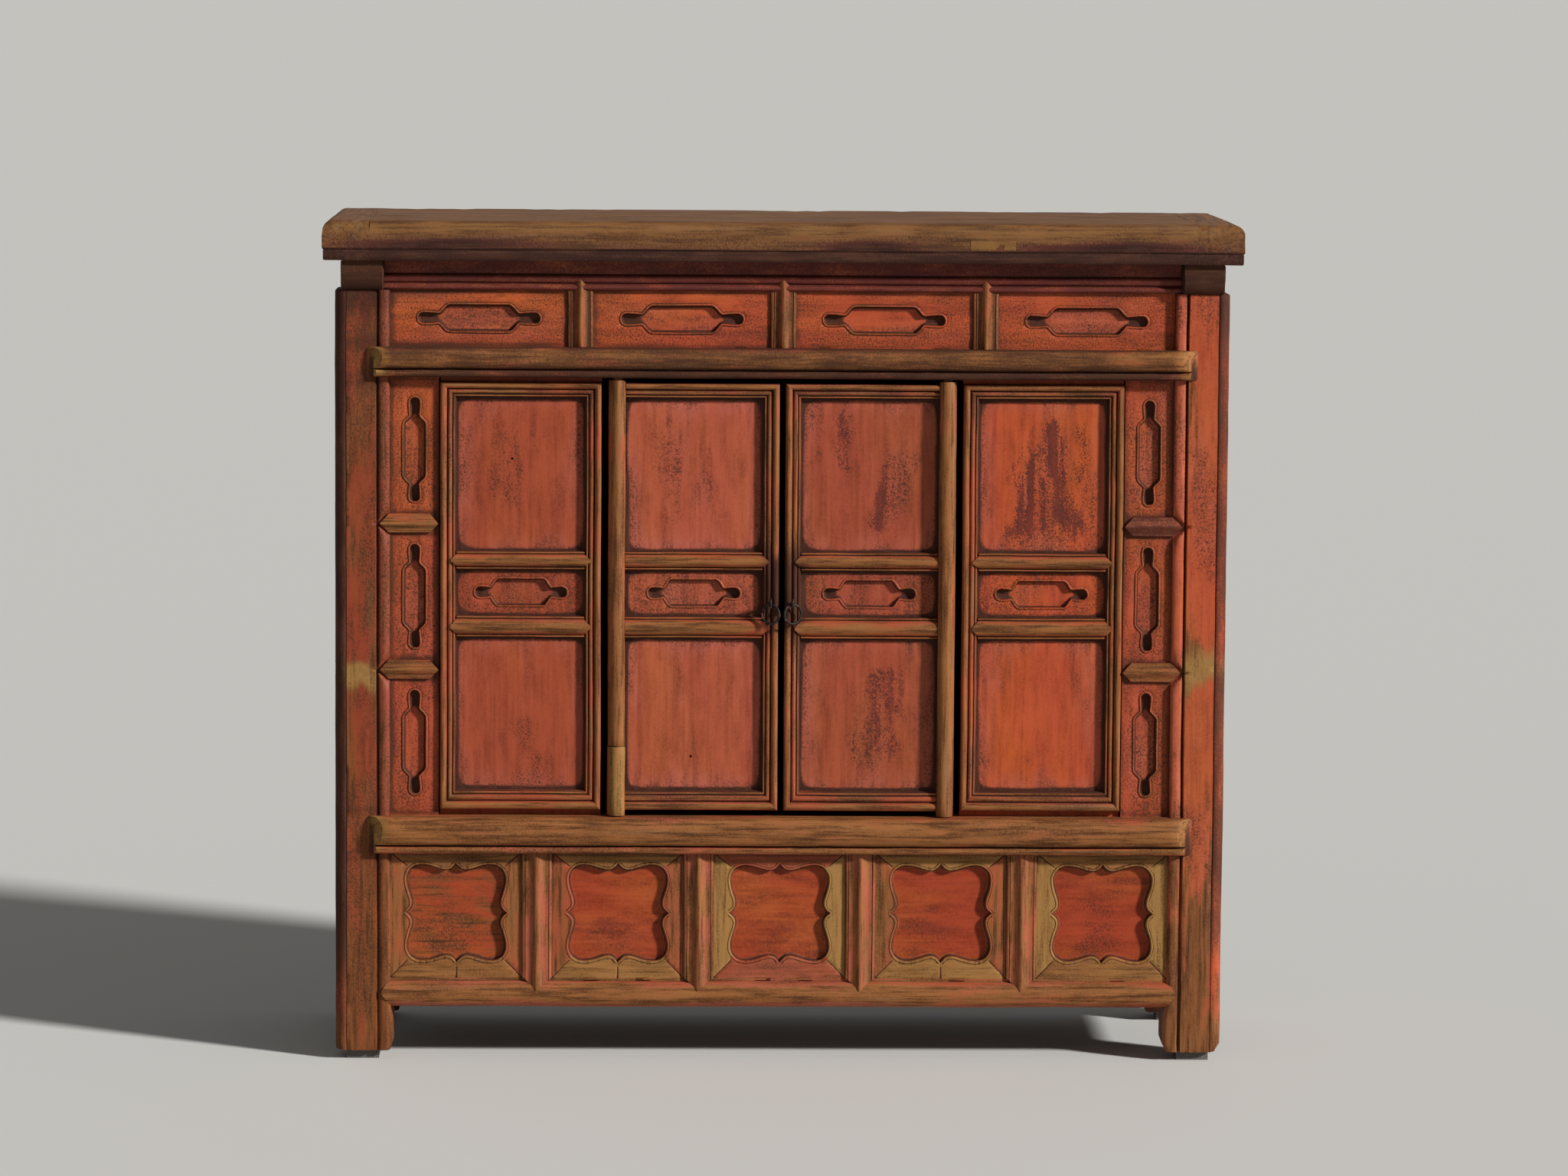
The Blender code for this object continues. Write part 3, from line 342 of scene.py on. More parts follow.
class Shape:  # a mesh in the making, with marks of age and of painted shade at each place
    def __init__(self):
        self.places = []
        self.marks = []
        self.faces = []
        self.slots = []

    def place(self, spot, worn=0.0, grime=0.0, tone=0.0):
        self.places.append(spot)
        self.marks.append(Marks(worn, grime, tone))
        return len(self.places) - 1

    def face(self, corners, slot=0):
        self.faces.append(corners)
        self.slots.append(slot)

    def join(self, loop, after, slot=0):  # a band of faces from one closed loop to the next
        for i in range(len(loop)):
            j = (i + 1) % len(loop)
            self.face((loop[i], loop[j], after[j], after[i]), slot)


wander = {"seed": 7, "warp": 0.0007, "warpReach": 0.16, "plane": 0.00025, "planeReach": 0.028,
          "chipReach": 0.017, "chipStart": 0.1, "chipWorn": 0.3, "crease": 48}
noise.seed_set(wander["seed"])  # noise vectors differ from run to run without a seed


def dress(shape, node, finishes, ageingAndShade=None, chips=0.0012):
    mesh = bpy.data.meshes.new(node)
    mesh.from_pydata(shape.places, [], shape.faces)
    mesh.polygons.foreach_set("material_index", shape.slots)
    shell = bmesh.new()
    shell.from_mesh(mesh)
    bmesh.ops.recalc_face_normals(shell, faces=shell.faces)
    shell.to_mesh(mesh)
    shell.free()
    normals = [vertex.normal.copy() for vertex in mesh.vertices]
    waver = 0.0 if slotOf[node] == "iron" else 1.0
    for vertex, normal, marks in zip(mesh.vertices, normals, shape.marks):
        spot = vertex.co.copy()
        # the ageing functions set marks of wear and dirt, and of painted shade through the grime mark
        if ageingAndShade:
            ageingAndShade(spot, marks)
        vertex.co += noise.noise_vector(spot / wander["warpReach"]) * wander["warp"] * waver
        vertex.co += noise.noise_vector(spot / wander["planeReach"]) * wander["plane"] * waver
        bite = max(0.0, noise.noise(spot / wander["chipReach"]) - wander["chipStart"])
        bite *= max(0.0, marks.worn - wander["chipWorn"])
        vertex.co -= normal * bite * chips * 2
        for axis in range(3):
            vertex.co[axis] = min(max(vertex.co[axis], cadBox[0][axis]), cadBox[1][axis])
    for name in markNames:
        attribute = mesh.attributes.new(name, "FLOAT", "POINT")
        attribute.data.foreach_set("value", [getattr(marks, name) for marks in shape.marks])
    for finish in finishes:
        mesh.materials.append(finish)
    mesh.shade_smooth()
    mesh.set_sharp_from_angle(angle=math.radians(wander["crease"]))
    piece = bpy.data.objects.new(f"{node}_aged", mesh)
    bpy.context.scene.collection.objects.link(piece)
    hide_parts(node)
    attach(piece, bodyOf[node])
    return piece


# sections are lists of (across, depth, worn, grime and painted shade)
# grime and painted shade gather at a hump's feet; murk darkens the whole hump evenly
def hump(start, end, base, rise, steps, worn, grime, murk=0.0):
    points = []
    for i in range(steps + 1):
        crown = math.sin(math.pi * i / steps)
        across = (start + end) / 2 - math.cos(math.pi * i / steps) * (end - start) / 2
        points.append((across, base - rise * crown, worn * crown, murk + grime * (1 - crown) ** 2))
    return points


def flat(start, end, depth, steps, worn, grime):
    return [(start + (end - start) * i / steps, depth, worn, grime) for i in range(steps + 1)]


def roundOver(start, end, steps, worn, grime):  # from one point to the next, square to the first's face
    points = []
    for i in range(steps + 1):
        turn = math.pi / 2 * i / steps
        across = start[0] + (end[0] - start[0]) * math.sin(turn)
        depth = start[1] + (end[1] - start[1]) * (1 - math.cos(turn))
        points.append((across, depth, worn * math.sin(turn * 2), grime))
    return points


def roundSection(across, depth, radius, count, worn=0.0, grime=0.0):
    points = []
    for i in range(count):
        turn = math.tau * i / count
        points.append((across + radius * math.cos(turn), depth + radius * math.sin(turn), worn, grime))
    return points


def mirrored(section, side):
    return [(across * side, depth, worn, grime) for across, depth, worn, grime in section]


def blockSection(low, high, fore, aft, ease, worn, grime):  # four sides with eased corners
    points = []
    for across, way in ((low, 1), (high, -1)):
        ends = [(across + way * ease, fore), (across, fore + ease), (across, (fore + aft) / 2)]
        ends += [(across, aft - ease), (across + way * ease, aft)]
        points += ends[::way]
    return [(across, depth, worn, grime) for across, depth in points[::-1]]


def turned(section):  # across and depth change places
    return [(depth, across, worn, grime) for across, depth, worn, grime in section]


def setAlong(axis, along, across, depth):
    if axis == "X":
        return Vector((along, depth, across))
    if axis == "Y":
        return Vector((across, along, depth))
    return Vector((across, depth, along))


def bar(shape, section, axis, start, end, step=0.013, ease=0.0, slot=0, tone=0.0, extra=()):
    startAt = start if callable(start) else lambda across, depth: start
    endAt = end if callable(end) else lambda across, depth: end
    middle = [sum(point[k] for point in section) / len(section) for k in (0, 1)]
    size = min(max(abs(point[k] - middle[k]) for point in section) for k in (0, 1))
    longest = max(abs(endAt(u, v) - startAt(u, v)) for u, v, worn, grime in section)
    count = max(2, round(longest / step))
    stops = [(i / count, 1.0) for i in range(count + 1)]
    stops = sorted(stops + [((along - start) / (end - start), 1.0) for along in extra])
    if ease:
        shrunk, inset = 1 - ease / size, ease / longest
        stops = [(0.0, shrunk), (inset, 1.0)] + stops[1:-1] + [(1 - inset, 1.0), (1.0, shrunk)]
    rings = []
    for share, scale in stops:
        ring = []
        for u, v, worn, grime in section:
            along = startAt(u, v) * (1 - share) + endAt(u, v) * share
            across = middle[0] + (u - middle[0]) * scale
            depth = middle[1] + (v - middle[1]) * scale
            ring.append(shape.place(setAlong(axis, along, across, depth), worn, grime, tone))
        rings.append(ring)
    for ring, after in zip(rings, rings[1:]):
        shape.join(ring, after, slot)
    corners = [Vector((u, v, 0)) for u, v, worn, grime in section]
    for triangle in geometry.tessellate_polygon([corners]):
        for ring in (rings[0], rings[-1]):
            shape.face([ring[k] for k in triangle], slot)


def barPiece(node, finish, section, axis, start, end, step, ageingAndShade=None, chips=0.0012, **settings):
    shape = Shape()
    bar(shape, section, axis, start, end, step, **settings)
    dress(shape, node, [finish], ageingAndShade, chips)


def divided(start, end, spacing):  # points from start up to, not with, end
    count = max(1, round((end - start).length / spacing))
    return [start.lerp(end, i / count) for i in range(count)]


def inside(spot, loop):
    hit = False
    for a, b in zip(loop, loop[1:] + loop[:1]):
        if (a.y > spot.y) != (b.y > spot.y) and spot.x < a.x + (b.x - a.x) * (spot.y - a.y) / (b.y - a.y):
            hit = not hit
    return hit


def widened(loop, reach, relax=0):  # moves a counter-clockwise loop outwards
    moved = []
    for i, spot in enumerate(loop):
        way = loop[(i + 1) % len(loop)] - loop[i - 1]
        moved.append(spot + Vector((way.y, -way.x)).normalized() * reach)
    for _ in range(relax):
        moved = [(moved[i - 1] + moved[i] * 2 + moved[(i + 1) % len(moved)]) / 4 for i in range(len(moved))]
    return moved


creaseLook = {"width": 0.0022, "depth": 0.0009, "grime": 1.3, "step": 0.003}
plateLook = {"clear": 0.45, "relax": 2, "fieldFiner": 0.6, "backCoarser": 3.0, "backAge": (0.7, 0.42),
             "merge": 1e-7}


def filled(shape, rim, holes, spacing, depth, age, slot, rimPlaces=None, creases=()):
    loops = [rim] + holes
    spots = [spot for loop in loops for spot in loop]
    edges = []
    first = 0
    for loop in loops:
        edges += [(first + i, first + (i + 1) % len(loop)) for i in range(len(loop))]
        first += len(loop)
    low = [min(spot[k] for spot in rim) for k in (0, 1)]
    high = [max(spot[k] for spot in rim) for k in (0, 1)]
    counts = [max(1, round((high[k] - low[k]) / spacing)) for k in (0, 1)]
    outer = widened(rim, -spacing * plateLook["clear"])
    keepOff = [widened(hole, spacing * plateLook["clear"]) for hole in holes]
    for i in range(1, counts[0]):
        for j in range(1, counts[1]):
            across = low[0] + (high[0] - low[0]) * i / counts[0]
            spot = Vector((across, low[1] + (high[1] - low[1]) * j / counts[1]))
            if inside(spot, outer) and not any(inside(spot, hole) for hole in keepOff):
                spots.append(spot)
    sunk = set()
    for start, end in creases:
        way = (end - start).normalized()
        aside = Vector((-way.y, way.x)) * creaseLook["width"] / 2
        line = divided(start, end, creaseLook["step"]) + [end]
        for offset in (-1, 0, 1):
            edges += [(len(spots) + i, len(spots) + i + 1) for i in range(len(line) - 1)]
            if offset == 0:
                sunk.update(range(len(spots), len(spots) + len(line)))
            spots += [spot + aside * offset for spot in line]
    found, _, faces, origins, _, _ = geometry.delaunay_2d_cdt(spots, edges, [], 0, plateLook["merge"])
    placed = {}
    kept = []
    for spot, origin in zip(found, origins):
        if rimPlaces and origin and origin[0] < len(rim):
            index = rimPlaces[origin[0]]
        elif sunk.intersection(origin):
            sunkSpot = Vector((spot.x, depth + creaseLook["depth"], spot.y))
            index = shape.place(sunkSpot, 0.0, creaseLook["grime"])
        else:
            index = shape.place(Vector((spot.x, depth, spot.y)), *age)
        kept.append(index)
        for source in origin:
            placed[source] = index
    for face in faces:
        centre = sum((found[k] for k in face), Vector((0, 0))) / len(face)
        if inside(centre, rim) and not any(inside(centre, hole) for hole in holes):
            shape.face([kept[k] for k in face], slot(centre) if callable(slot) else slot)
    return placed


def carvedPlate(node, finishes, fields, spacing, age, ageingAndShade, slots=(0, 0), creases=()):
    shape = Shape()
    low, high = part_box(node)
    face, back = low.y, high.y
    corners = [Vector(pair) for pair in ((low.x, low.z), (high.x, low.z), (high.x, high.z), (low.x, high.z))]
    wall = 0 if callable(slots[0]) else slots[0]
    rim = []
    for start, end in zip(corners, corners[1:] + corners[:1]):
        rim += divided(start, end, spacing)
    holes = [widened(field, profile[0][0], plateLook["relax"]) for field, profile in fields]
    placed = filled(shape, rim, holes, spacing, face, age, slots[0], None, creases)
    first = len(rim)
    for (field, profile), hole in zip(fields, holes):
        ring = [placed[first + i] for i in range(len(hole))]
        first += len(hole)
        for reach, rise, worn, grime in profile[1:]:
            loop = widened(field, reach)
            after = [shape.place(Vector((spot.x, face - rise, spot.y)), worn, grime) for spot in loop]
            shape.join(ring, after, wall)
            ring = after
        filled(shape, loop, [], spacing * plateLook["fieldFiner"], face - rise, (worn, grime), slots[1], ring)
    behind = [shape.place(Vector((spot.x, back, spot.y)), *plateLook["backAge"]) for spot in rim]
    shape.join(behind, [placed[i] for i in range(len(rim))], wall)
    filled(shape, rim, [], spacing * plateLook["backCoarser"], back, plateLook["backAge"], wall, behind)
    dress(shape, node, finishes, ageingAndShade, 0.0)


def roundTrip(quarter):  # the other three quarters of an outline, counter-clockwise
    upper = quarter + [Vector((-spot.x, spot.y)) for spot in quarter[::-1][:-1]]
    loop = upper[::-1] + [Vector((spot.x, -spot.y)) for spot in upper[1:-1]]
    area = sum(a.x * b.y - b.x * a.y for a, b in zip(loop, loop[1:] + loop[:1]))
    return loop if area > 0 else loop[::-1]


def cartouche(look):  # a long body, S-shaped shoulders, and a round-ended arm at each end
    length, tall, arm = look["length"], look["tall"], look["arm"]
    body, shoulder, tip = length * 0.235, length * 0.335, length / 2 - arm / 2
    top = [Vector((body * i / 5, tall / 2)) for i in range(6)]
    for i in range(1, 9):
        fall = 0.5 - 0.5 * math.cos(math.pi * (i / 8) ** 1.15)
        top.append(Vector((body + (shoulder - body) * i / 8, tall / 2 + (arm * 0.4 - tall / 2) * fall)))
    for i in range(1, 4):
        up = arm * (0.4 + 0.1 * math.sin(math.pi / 2 * i / 4))
        top.append(Vector((shoulder + (tip - shoulder) * i / 4, up)))
    for i in range(7):
        turn = math.pi / 2 * (1 - i / 6)
        top.append(Vector((tip + arm / 2 * math.cos(turn), arm / 2 * math.sin(turn))))
    return roundTrip(top[::-1])


def scallop(halfWidth, halfHeight, look):  # round corners, and on each side two bumps that part at a cusp
    corner = look["corner"]
    loop = []
    for turn in range(4):
        reach, span = (halfWidth, halfHeight) if turn % 2 == 0 else (halfHeight, halfWidth)
        straight = span - corner
        edge = []
        for i in range(look["steps"]):
            t = -1 + 2 * i / (look["steps"] - 1)
            bump = look["bump"] * math.sin(math.pi * abs(t) ** look["lean"]) ** 2
            cusp = look["cusp"] * math.exp(-abs(t) * look["cuspFall"])
            edge.append(Vector((reach - bump + cusp, straight * t)))
        for i in range(1, 8):
            angle = math.pi / 2 * i / 8
            across = reach - corner + corner * math.cos(angle)
            edge.append(Vector((across, straight + corner * math.sin(angle))))
        for spot in edge:
            for _ in range(turn):
                spot = Vector((-spot.y, spot.x))
            loop.append(spot)
    return loop


def moved(loop, across, up):
    return [Vector((across + spot.x, up + spot.y)) for spot in loop]


def stoodUp(loop):
    return [Vector((-spot.y, spot.x)) for spot in loop]


def drawnNoise(spot, across, along, axis="Z"):  # patches drawn out along an axis
    if axis == "X":
        return noise.noise(Vector((spot.x / along, spot.y / across, spot.z / across)))
    return noise.noise(Vector((spot.x / across, spot.y / across, spot.z / along)))


def ageHull(spot, marks):  # the sides, back posts and low rails
    marks.grime += 0.3 * (1 - smooth(0.0, 0.16, spot.z)) + 0.15 * smooth(0.85, 1.0, spot.z)
    marks.stain += 0.2 + 0.3 * noise.noise(spot / 0.16)
    marks.worn += 0.3 * noise.noise(spot / 0.09)


# Front posts: a bead on the inner edge, a flat, and a rounded outer band
postLook = {
    "bead": 0.0155, "beadDrop": 0.0045, "quirk": 0.0035, "band": 0.0155, "groove": 0.003, "round": 0.0125,
    "backEase": 0.003, "ends": 0.0015, "backCorner": 0.004, "footBulge": 0.0036, "notch": 0.0088,
    "footCorner": {"left": 0.004, "right": 0.014}, "footWear": 0.38,
}
# the left post gets more grime and cracks than the right: dirt, and painted shade for the weaker light on the
# left
postAgesAndShade = {
    "left": {
        "worn": 0.12, "footWorn": 0.45, "footStain": 0.0, "cracks": 0.2, "bloom": 0.0, "grime": 0.3,
        "headDarkening": 0.5, "bandGrimeAndShade": 0.45, "jointGrime": 1.0, "patch": (0.506, 0.028),
    },
    "right": {
        "worn": -0.1, "footWorn": 0.75, "footStain": 0.3, "cracks": 0.06, "bloom": 0.25, "grime": 0.08,
        "headDarkening": 0.4, "bandGrimeAndShade": 0.2, "jointGrime": 0.6, "patch": (0.522, 0.052),
    },
}
muntinPlaces = ("lower", "upper")
muntinLow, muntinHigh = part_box("column_muntin_right_lower")
muntinHalf = (muntinHigh.z - muntinLow.z) / 2
muntinTip = muntinHigh.x - postIn
muntinLevels = []
for place in muntinPlaces:
    low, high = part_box(f"column_muntin_right_{place}")
    muntinLevels.append((low.z + high.z) / 2)


def postSection():
    look = postLook
    deep, width = frontBack - front, postOut - postIn
    bead, drop, ease = look["bead"], look["beadDrop"], look["backEase"]
    bandStart = width - look["band"]
    section = [
        (0.0, frontBack, 0.2, 0.5),
        *[(0.0, front + drop + deep * share, 0.2, 0.5) for share in (0.7, 0.4, 0.1)],
        *hump(0.0, bead, front + drop, drop, 8, 0.48, 0.9),
        (bead + look["quirk"] * 0.35, front + drop * 1.15, 0.0, 1.1),
        *flat(bead + look["quirk"], bandStart, front, 6, 0.3, 0.12),
        (bandStart + 0.0007, front + 0.0012, 0.0, 1.0),
        (bandStart + 0.0016, front + 0.0003, 0.1, 0.7),
        *roundOver((bandStart + look["groove"], front), (width, front + look["round"]), 6, 0.2, 0.62),
        *[(width, front + deep * share, 0.25, 0.4) for share in (0.35, 0.55, 0.75)],
        (width, frontBack - ease, 0.0, 0.3),
        (width - ease, frontBack, 0.3, 0.3),
    ]
    return [(postIn + across, depth, worn, grime) for across, depth, worn, grime in section]


def cutPost(spot, word, side):  # swells the foot, rounds its corner and sinks the muntins' notches
    look = postLook
    inner = 1 - smooth(postIn, postIn + 0.02, abs(spot.x))
    bulge = inner * (1 - smooth(bottomLow - 0.012, bottomLow + 0.002, spot.z))
    bulge *= smooth(footLow, footLow + 0.012, spot.z)
    across = abs(spot.x - side * bulge * look["footBulge"])
    corner = look["footCorner"][word]
    drop = max(0.0, footLow + corner - spot.z)
    limit = postOut - corner + math.sqrt(max(0.0, corner ** 2 - drop ** 2))
    depth = spot.y
    for level in muntinLevels:
        off = abs(spot.z - level) / muntinHalf + (abs(spot.x) - postIn) / muntinTip
        depth = max(depth, front + look["notch"] * (1 - smooth(1.15, 1.7, off)))
    return Vector((side * min(across, limit), depth, spot.z))


def ageAndShadePost(spot, marks):
    age = postAgesAndShade["left" if spot.x < 0 else "right"]
    low = 1 - smooth(footLow, postLook["footWear"], spot.z)
    high = smooth(upperTop + 0.004, friezeTop - 0.01, spot.z)
    bead = abs(spot.x) < postIn + postLook["bead"] + 0.001
    band = abs(spot.x) > postOut - postLook["band"]
    streak = drawnNoise(spot, 0.018, 0.13)
    marks.worn += age["footWorn"] * low + 0.45 * streak + age["worn"]
    marks.grime *= 1 - 0.6 * low
    # darker towards the post's head, under the top
    marks.grime += age["grime"] * (1 - low) + age["headDarkening"] * high
    marks.stain += age["footStain"] * low * (0.6 + 1.2 * drawnNoise(spot, 0.03, 0.06))
    marks.cracks += age["cracks"] + 0.35 * drawnNoise(spot, 0.05, 0.09) + 0.3 * high
    if bead:
        marks.worn -= 0.12 * (1 - low)
        marks.bloom += 0.65
    elif band:
        # the outer round darkens: grime, and painted shade where the round turns away from the light on the
        # left post
        flank = smooth(front + 0.012, front + 0.03, spot.y)
        marks.grime += age["bandGrimeAndShade"] * (1 - flank) + 0.2 * flank
        marks.stain += (0.26 + 0.3 * noise.noise(spot / 0.16)) * flank
    else:
        marks.bloom += age["bloom"]
    joints = near(spot.z, lowerTop + 0.006, 0.02) + near(spot.z, lowerLow - 0.004, 0.025)
    joints += near(spot.z, upperLow - 0.004, 0.025) + near(spot.z, upperTop + 0.004, 0.02)
    marks.grime += (0.05 if band else 0.4) * joints * age["jointGrime"]
    level, tall = age["patch"]
    tan = near(spot.z + 0.012 * streak, level, tall) * (0.2 if bead else 1)
    marks.worn += 0.7 * tan
    marks.tone += 1.1 * tan
    marks.cracks -= 0.4 * tan
    if spot.x > 0:
        marks.cracks += 0.42 * near(spot.z, 0.73, 0.13) * smooth(postIn + 0.02, postOut - 0.025, spot.x)


postEnds = (footLow, friezeTop - seat)
notches = [level + muntinHalf * i / 7.5 for level in muntinLevels for i in range(-8, 9)]
for word, side in sides:
    shape = Shape()
    bar(shape, mirrored(postSection(), side), "Z", *postEnds, 0.011, postLook["ends"], extra=notches)
    shape.places = [cutPost(spot, word, side) for spot in shape.places]
    postLacquer = agedLacquer(f"post_lacquer_{word}", "Z", postTints[word])
    dress(shape, f"post_front_{word}", [postLacquer], ageAndShadePost, 0.0018)
    low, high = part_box(f"post_back_{word}")
    section = blockSection(low.x, high.x, low.y, high.y, postLook["backCorner"], 0.3, 0.25)
    barPiece(f"post_back_{word}", sideZ, section, "Z", *postEnds, 0.03, ageHull, 0.0015,
             ease=postLook["ends"])
print("posts set")

# Rails that lap over the posts: a half-round nose above a small bead
railLook = {
    "noses": {"upper_rail": 0.018, "lower_rail": 0.021}, "bead": 0.0105, "quirk": 0.0012, "lap": 0.030,
    "chamfer": 0.020, "depth": 0.037, "seat": 0.0006, "fullness": 0.62, "steps": 12, "ends": 0.0012,
}


def noseSection(low, high, nose):
    look = railLook
    split = low + look["bead"]
    start = split + look["quirk"]
    section = [(low, front + look["seat"], 0.1, 0.8)]
    section += hump(low, split, front - nose * 0.38, nose * 0.26, 6, 0.62, 0.85, 0.4)
    section += [(split + 0.0005, front - nose * 0.42, 0.2, 1.0)]
    for i in range(look["steps"] + 1):
        share = i / look["steps"]
        crown = math.sin(math.pi * share) ** look["fullness"]
        across = (start + high) / 2 - math.cos(math.pi * share) * (high - start) / 2
        foot = 0.5 - 0.35 * share
        depth = front - nose * (foot + (1 - foot) * crown)
        section.append((across, depth, 0.5 + 0.25 * crown - 0.1 * share, 0.15 + 0.5 * (1 - crown) ** 1.5))
    section += [(high, front + look["seat"], 0.3, 0.6)]
    return section


def ageRail(spot, marks):
    end = smooth(postIn - 0.002, postIn + 0.02, abs(spot.x))
    high = smooth(lowerTop, upperLow, spot.z)
    streak = drawnNoise(spot, 0.016, 0.10, "X")
    marks.worn += 0.3 * end + 0.4 * streak + (0.14 - 0.06 * high) * (1 - end)
    marks.tone += 1.1 * end * (1 if spot.x < 0 else 0.3)
    marks.grime += 0.56 * high * (1 - end) + 0.14 * noise.noise(spot / 0.05)
    marks.bloom += 0.4
    marks.cracks += 0.1 + 0.2 * noise.noise(spot / 0.09)


for node, nose in railLook["noses"].items():
    low, high = [corner.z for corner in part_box(node)]

    def noseEnd(across, depth):
        return postIn + railLook["lap"] - railLook["chamfer"] * max(0.0, front - depth) / nose

    shape = Shape()
    section = noseSection(low, high, nose)
    bar(shape, section, "X", lambda u, v: -noseEnd(u, v), noseEnd, 0.014, railLook["ends"])
    body = blockSection(low, high, front + 0.001, front + railLook["depth"], 0.001, 0.5, 0.3)
    bar(shape, body, "X", -(postIn - seat), postIn - seat, 0.05)
    dress(shape, node, [frameX], ageRail, 0.0016)

# Bottom rail, its pointed ends scribed over the posts' beads
bottomLook = {"nose": 0.003, "point": 0.013, "depth": 0.037}
bottomMiddle, bottomHalf = (bottomLow + bottomTop) / 2, (bottomTop - bottomLow) / 2


def bottomSection():
    rise = bottomHalf * 0.4
    crown = rise + bottomLook["nose"]
    deep = front + bottomLook["depth"]
    return [
        (bottomLow, deep, 0.3, 0.4),
        (bottomLow, front + bottomHalf * 0.5, 0.6, 0.3),
        *hump(bottomLow + 0.0015, bottomTop - 0.004, front + rise, crown, 10, 0.8, 0.25),
        (bottomTop - 0.0034, front + bottomHalf * 0.42, 0.2, 0.9),
        (bottomTop - 0.0026, front + bottomHalf * 0.3, 0.6, 0.3),
        (bottomTop - 0.0006, front + bottomHalf * 0.3, 0.6, 0.4),
        (bottomTop, front + bottomHalf * 0.36, 0.5, 0.6),
        (bottomTop, deep, 0.3, 0.4),
    ]


def scribed(across, depth):
    tip = bottomLook["point"] * max(0.0, 1 - abs(across - bottomMiddle) / bottomHalf)
    return postIn - seat + tip * (1 - smooth(front + 0.006, front + 0.01, depth))


def ageBottom(spot, marks):
    marks.worn += 0.35 * drawnNoise(spot, 0.016, 0.10, "X")
    marks.stain += 0.25 * near(spot.x, 0.13, 0.3) * near(spot.z, bottomLow, 0.02)
    marks.bloom += 0.5


barPiece("bottom_rail", frameX, bottomSection(), "X", lambda u, v: -scribed(u, v), scribed, 0.014,
         ageBottom, 0.0016)

# Lintel under the top, with two beads above the frieze
# its tone below zero veils it dark maroon: dark lacquer, and painted shade under the top's overhang
lintelLook = {"setback": 0.010, "lowBead": 0.008, "highBead": 0.020, "rise": 0.0042, "depth": 0.037,
              "tone": -0.75}


def lintelSection():
    look = lintelLook
    face, deep = front + look["setback"], front + look["depth"]
    split, over = friezeTop + look["lowBead"], friezeTop + look["highBead"]
    return [
        (friezeTop, deep, 0.2, 0.5),
        *hump(friezeTop, split, face - 0.002, 0.005, 6, 0.5, 0.8),
        (split + 0.0006, face - 0.0016, 0.0, 1.0),
        *hump(split + 0.0012, over, face, look["rise"], 6, 0.3, 0.8),
        (over + 0.0008, face + 0.0008, 0.0, 1.1),
        *flat(over + 0.002, underTop - seat, face, 3, 0.12, 0.5),
        (underTop - seat, deep, 0.2, 0.5),
    ]


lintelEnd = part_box("top_bearer_right")[0].x - seat
barPiece("front_top_rail", frameX, lintelSection(), "X", -lintelEnd, lintelEnd, 0.014,
         tone=lintelLook["tone"])

# Bearers on the posts, each with a rounded nose at the front
bearerLook = {"noseRound": 0.026, "ease": 0.002, "steps": 7}


def bearerSection(nose, back):
    look = bearerLook
    head = underTop - seat
    section = [(friezeTop, back, 0.3, 0.4), (friezeTop, 0.0, 0.3, 0.4), (friezeTop, front, 0.3, 0.7)]
    for i in range(1, look["steps"] + 1):
        turn = math.pi / 2 * i / look["steps"]
        up = friezeTop + look["noseRound"] * (1 - math.cos(turn))
        section.append((up, front + (nose - front) * math.sin(turn), 0.4, 0.6))
    return section + [(head, nose, 0.4, 0.5), (head, 0.0, 0.3, 0.4), (head, back, 0.3, 0.4)]


def ageAndShadeBearer(spot, marks):
    marks.worn += 0.25
    # grime over the bearer, and painted shade deepening towards the rounded underside of its nose
    marks.grime += 0.48 + 0.5 * (1 - smooth(friezeTop, friezeTop + bearerLook["noseRound"], spot.z))


for node in ("top_bearer_left", "top_bearer_right"):
    low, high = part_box(node)
    section = bearerSection(low.y, high.y)
    barPiece(node, frameX, section, "X", low.x, high.x, 0.007, ageAndShadeBearer, 0.0014, ease=bearerLook["ease"])
print("rails and bearers set")

# Top: a plank field with a moulded front edge between two end battens
topLook = {
    "round": 0.015, "lip": 0.014, "lipSetback": 0.002, "setback": 0.0006, "backEase": 0.003, "joint": 0.0001,
    "seams": (0.36, 0.69), "seamWidth": 0.0016, "seamDepth": 0.0022, "battenBack": 0.004, "battenStep": 0.014,
    "inlay": (0.017, 0.030), "inlaySpan": (0.241, 0.300), "inlayDepth": 0.003, "inlayWorn": 1.4,
    "inlayTone": 1.3,
}


def edgeLevels():  # height, setback, worn, grime and painted shade, from the underside to the top face
    look = topLook
    inset, setback = look["lipSetback"], look["setback"]
    ledge, shoulder = underTop + look["lip"], topHeight - look["round"]
    levels = [(underTop, inset + 0.0012, 0.2, 0.6), (underTop + 0.0016, inset, 0.45, 0.4)]
    levels += [(underTop + 0.006, inset, 0.5, 0.3), (ledge - 0.0014, inset, 0.45, 0.5)]
    levels += [(ledge, inset + 0.0006, 0.1, 1.0), (ledge + 0.0012, 0.0009, 0.3, 0.8)]
    start = ledge + 0.003
    for share in (0.0, 0.25, 0.5, 0.75, 1.0):
        levels.append((start + (shoulder - start) * share, setback, 0.6 + 0.3 * share, 0.3 - 0.3 * share))
    for i in range(1, 7):
        turn = math.pi / 2 * i / 6
        up = shoulder + look["round"] * math.sin(turn)
        levels.append((up, setback + look["round"] * (1 - math.cos(turn)), 0.9, 0.0))
    return levels


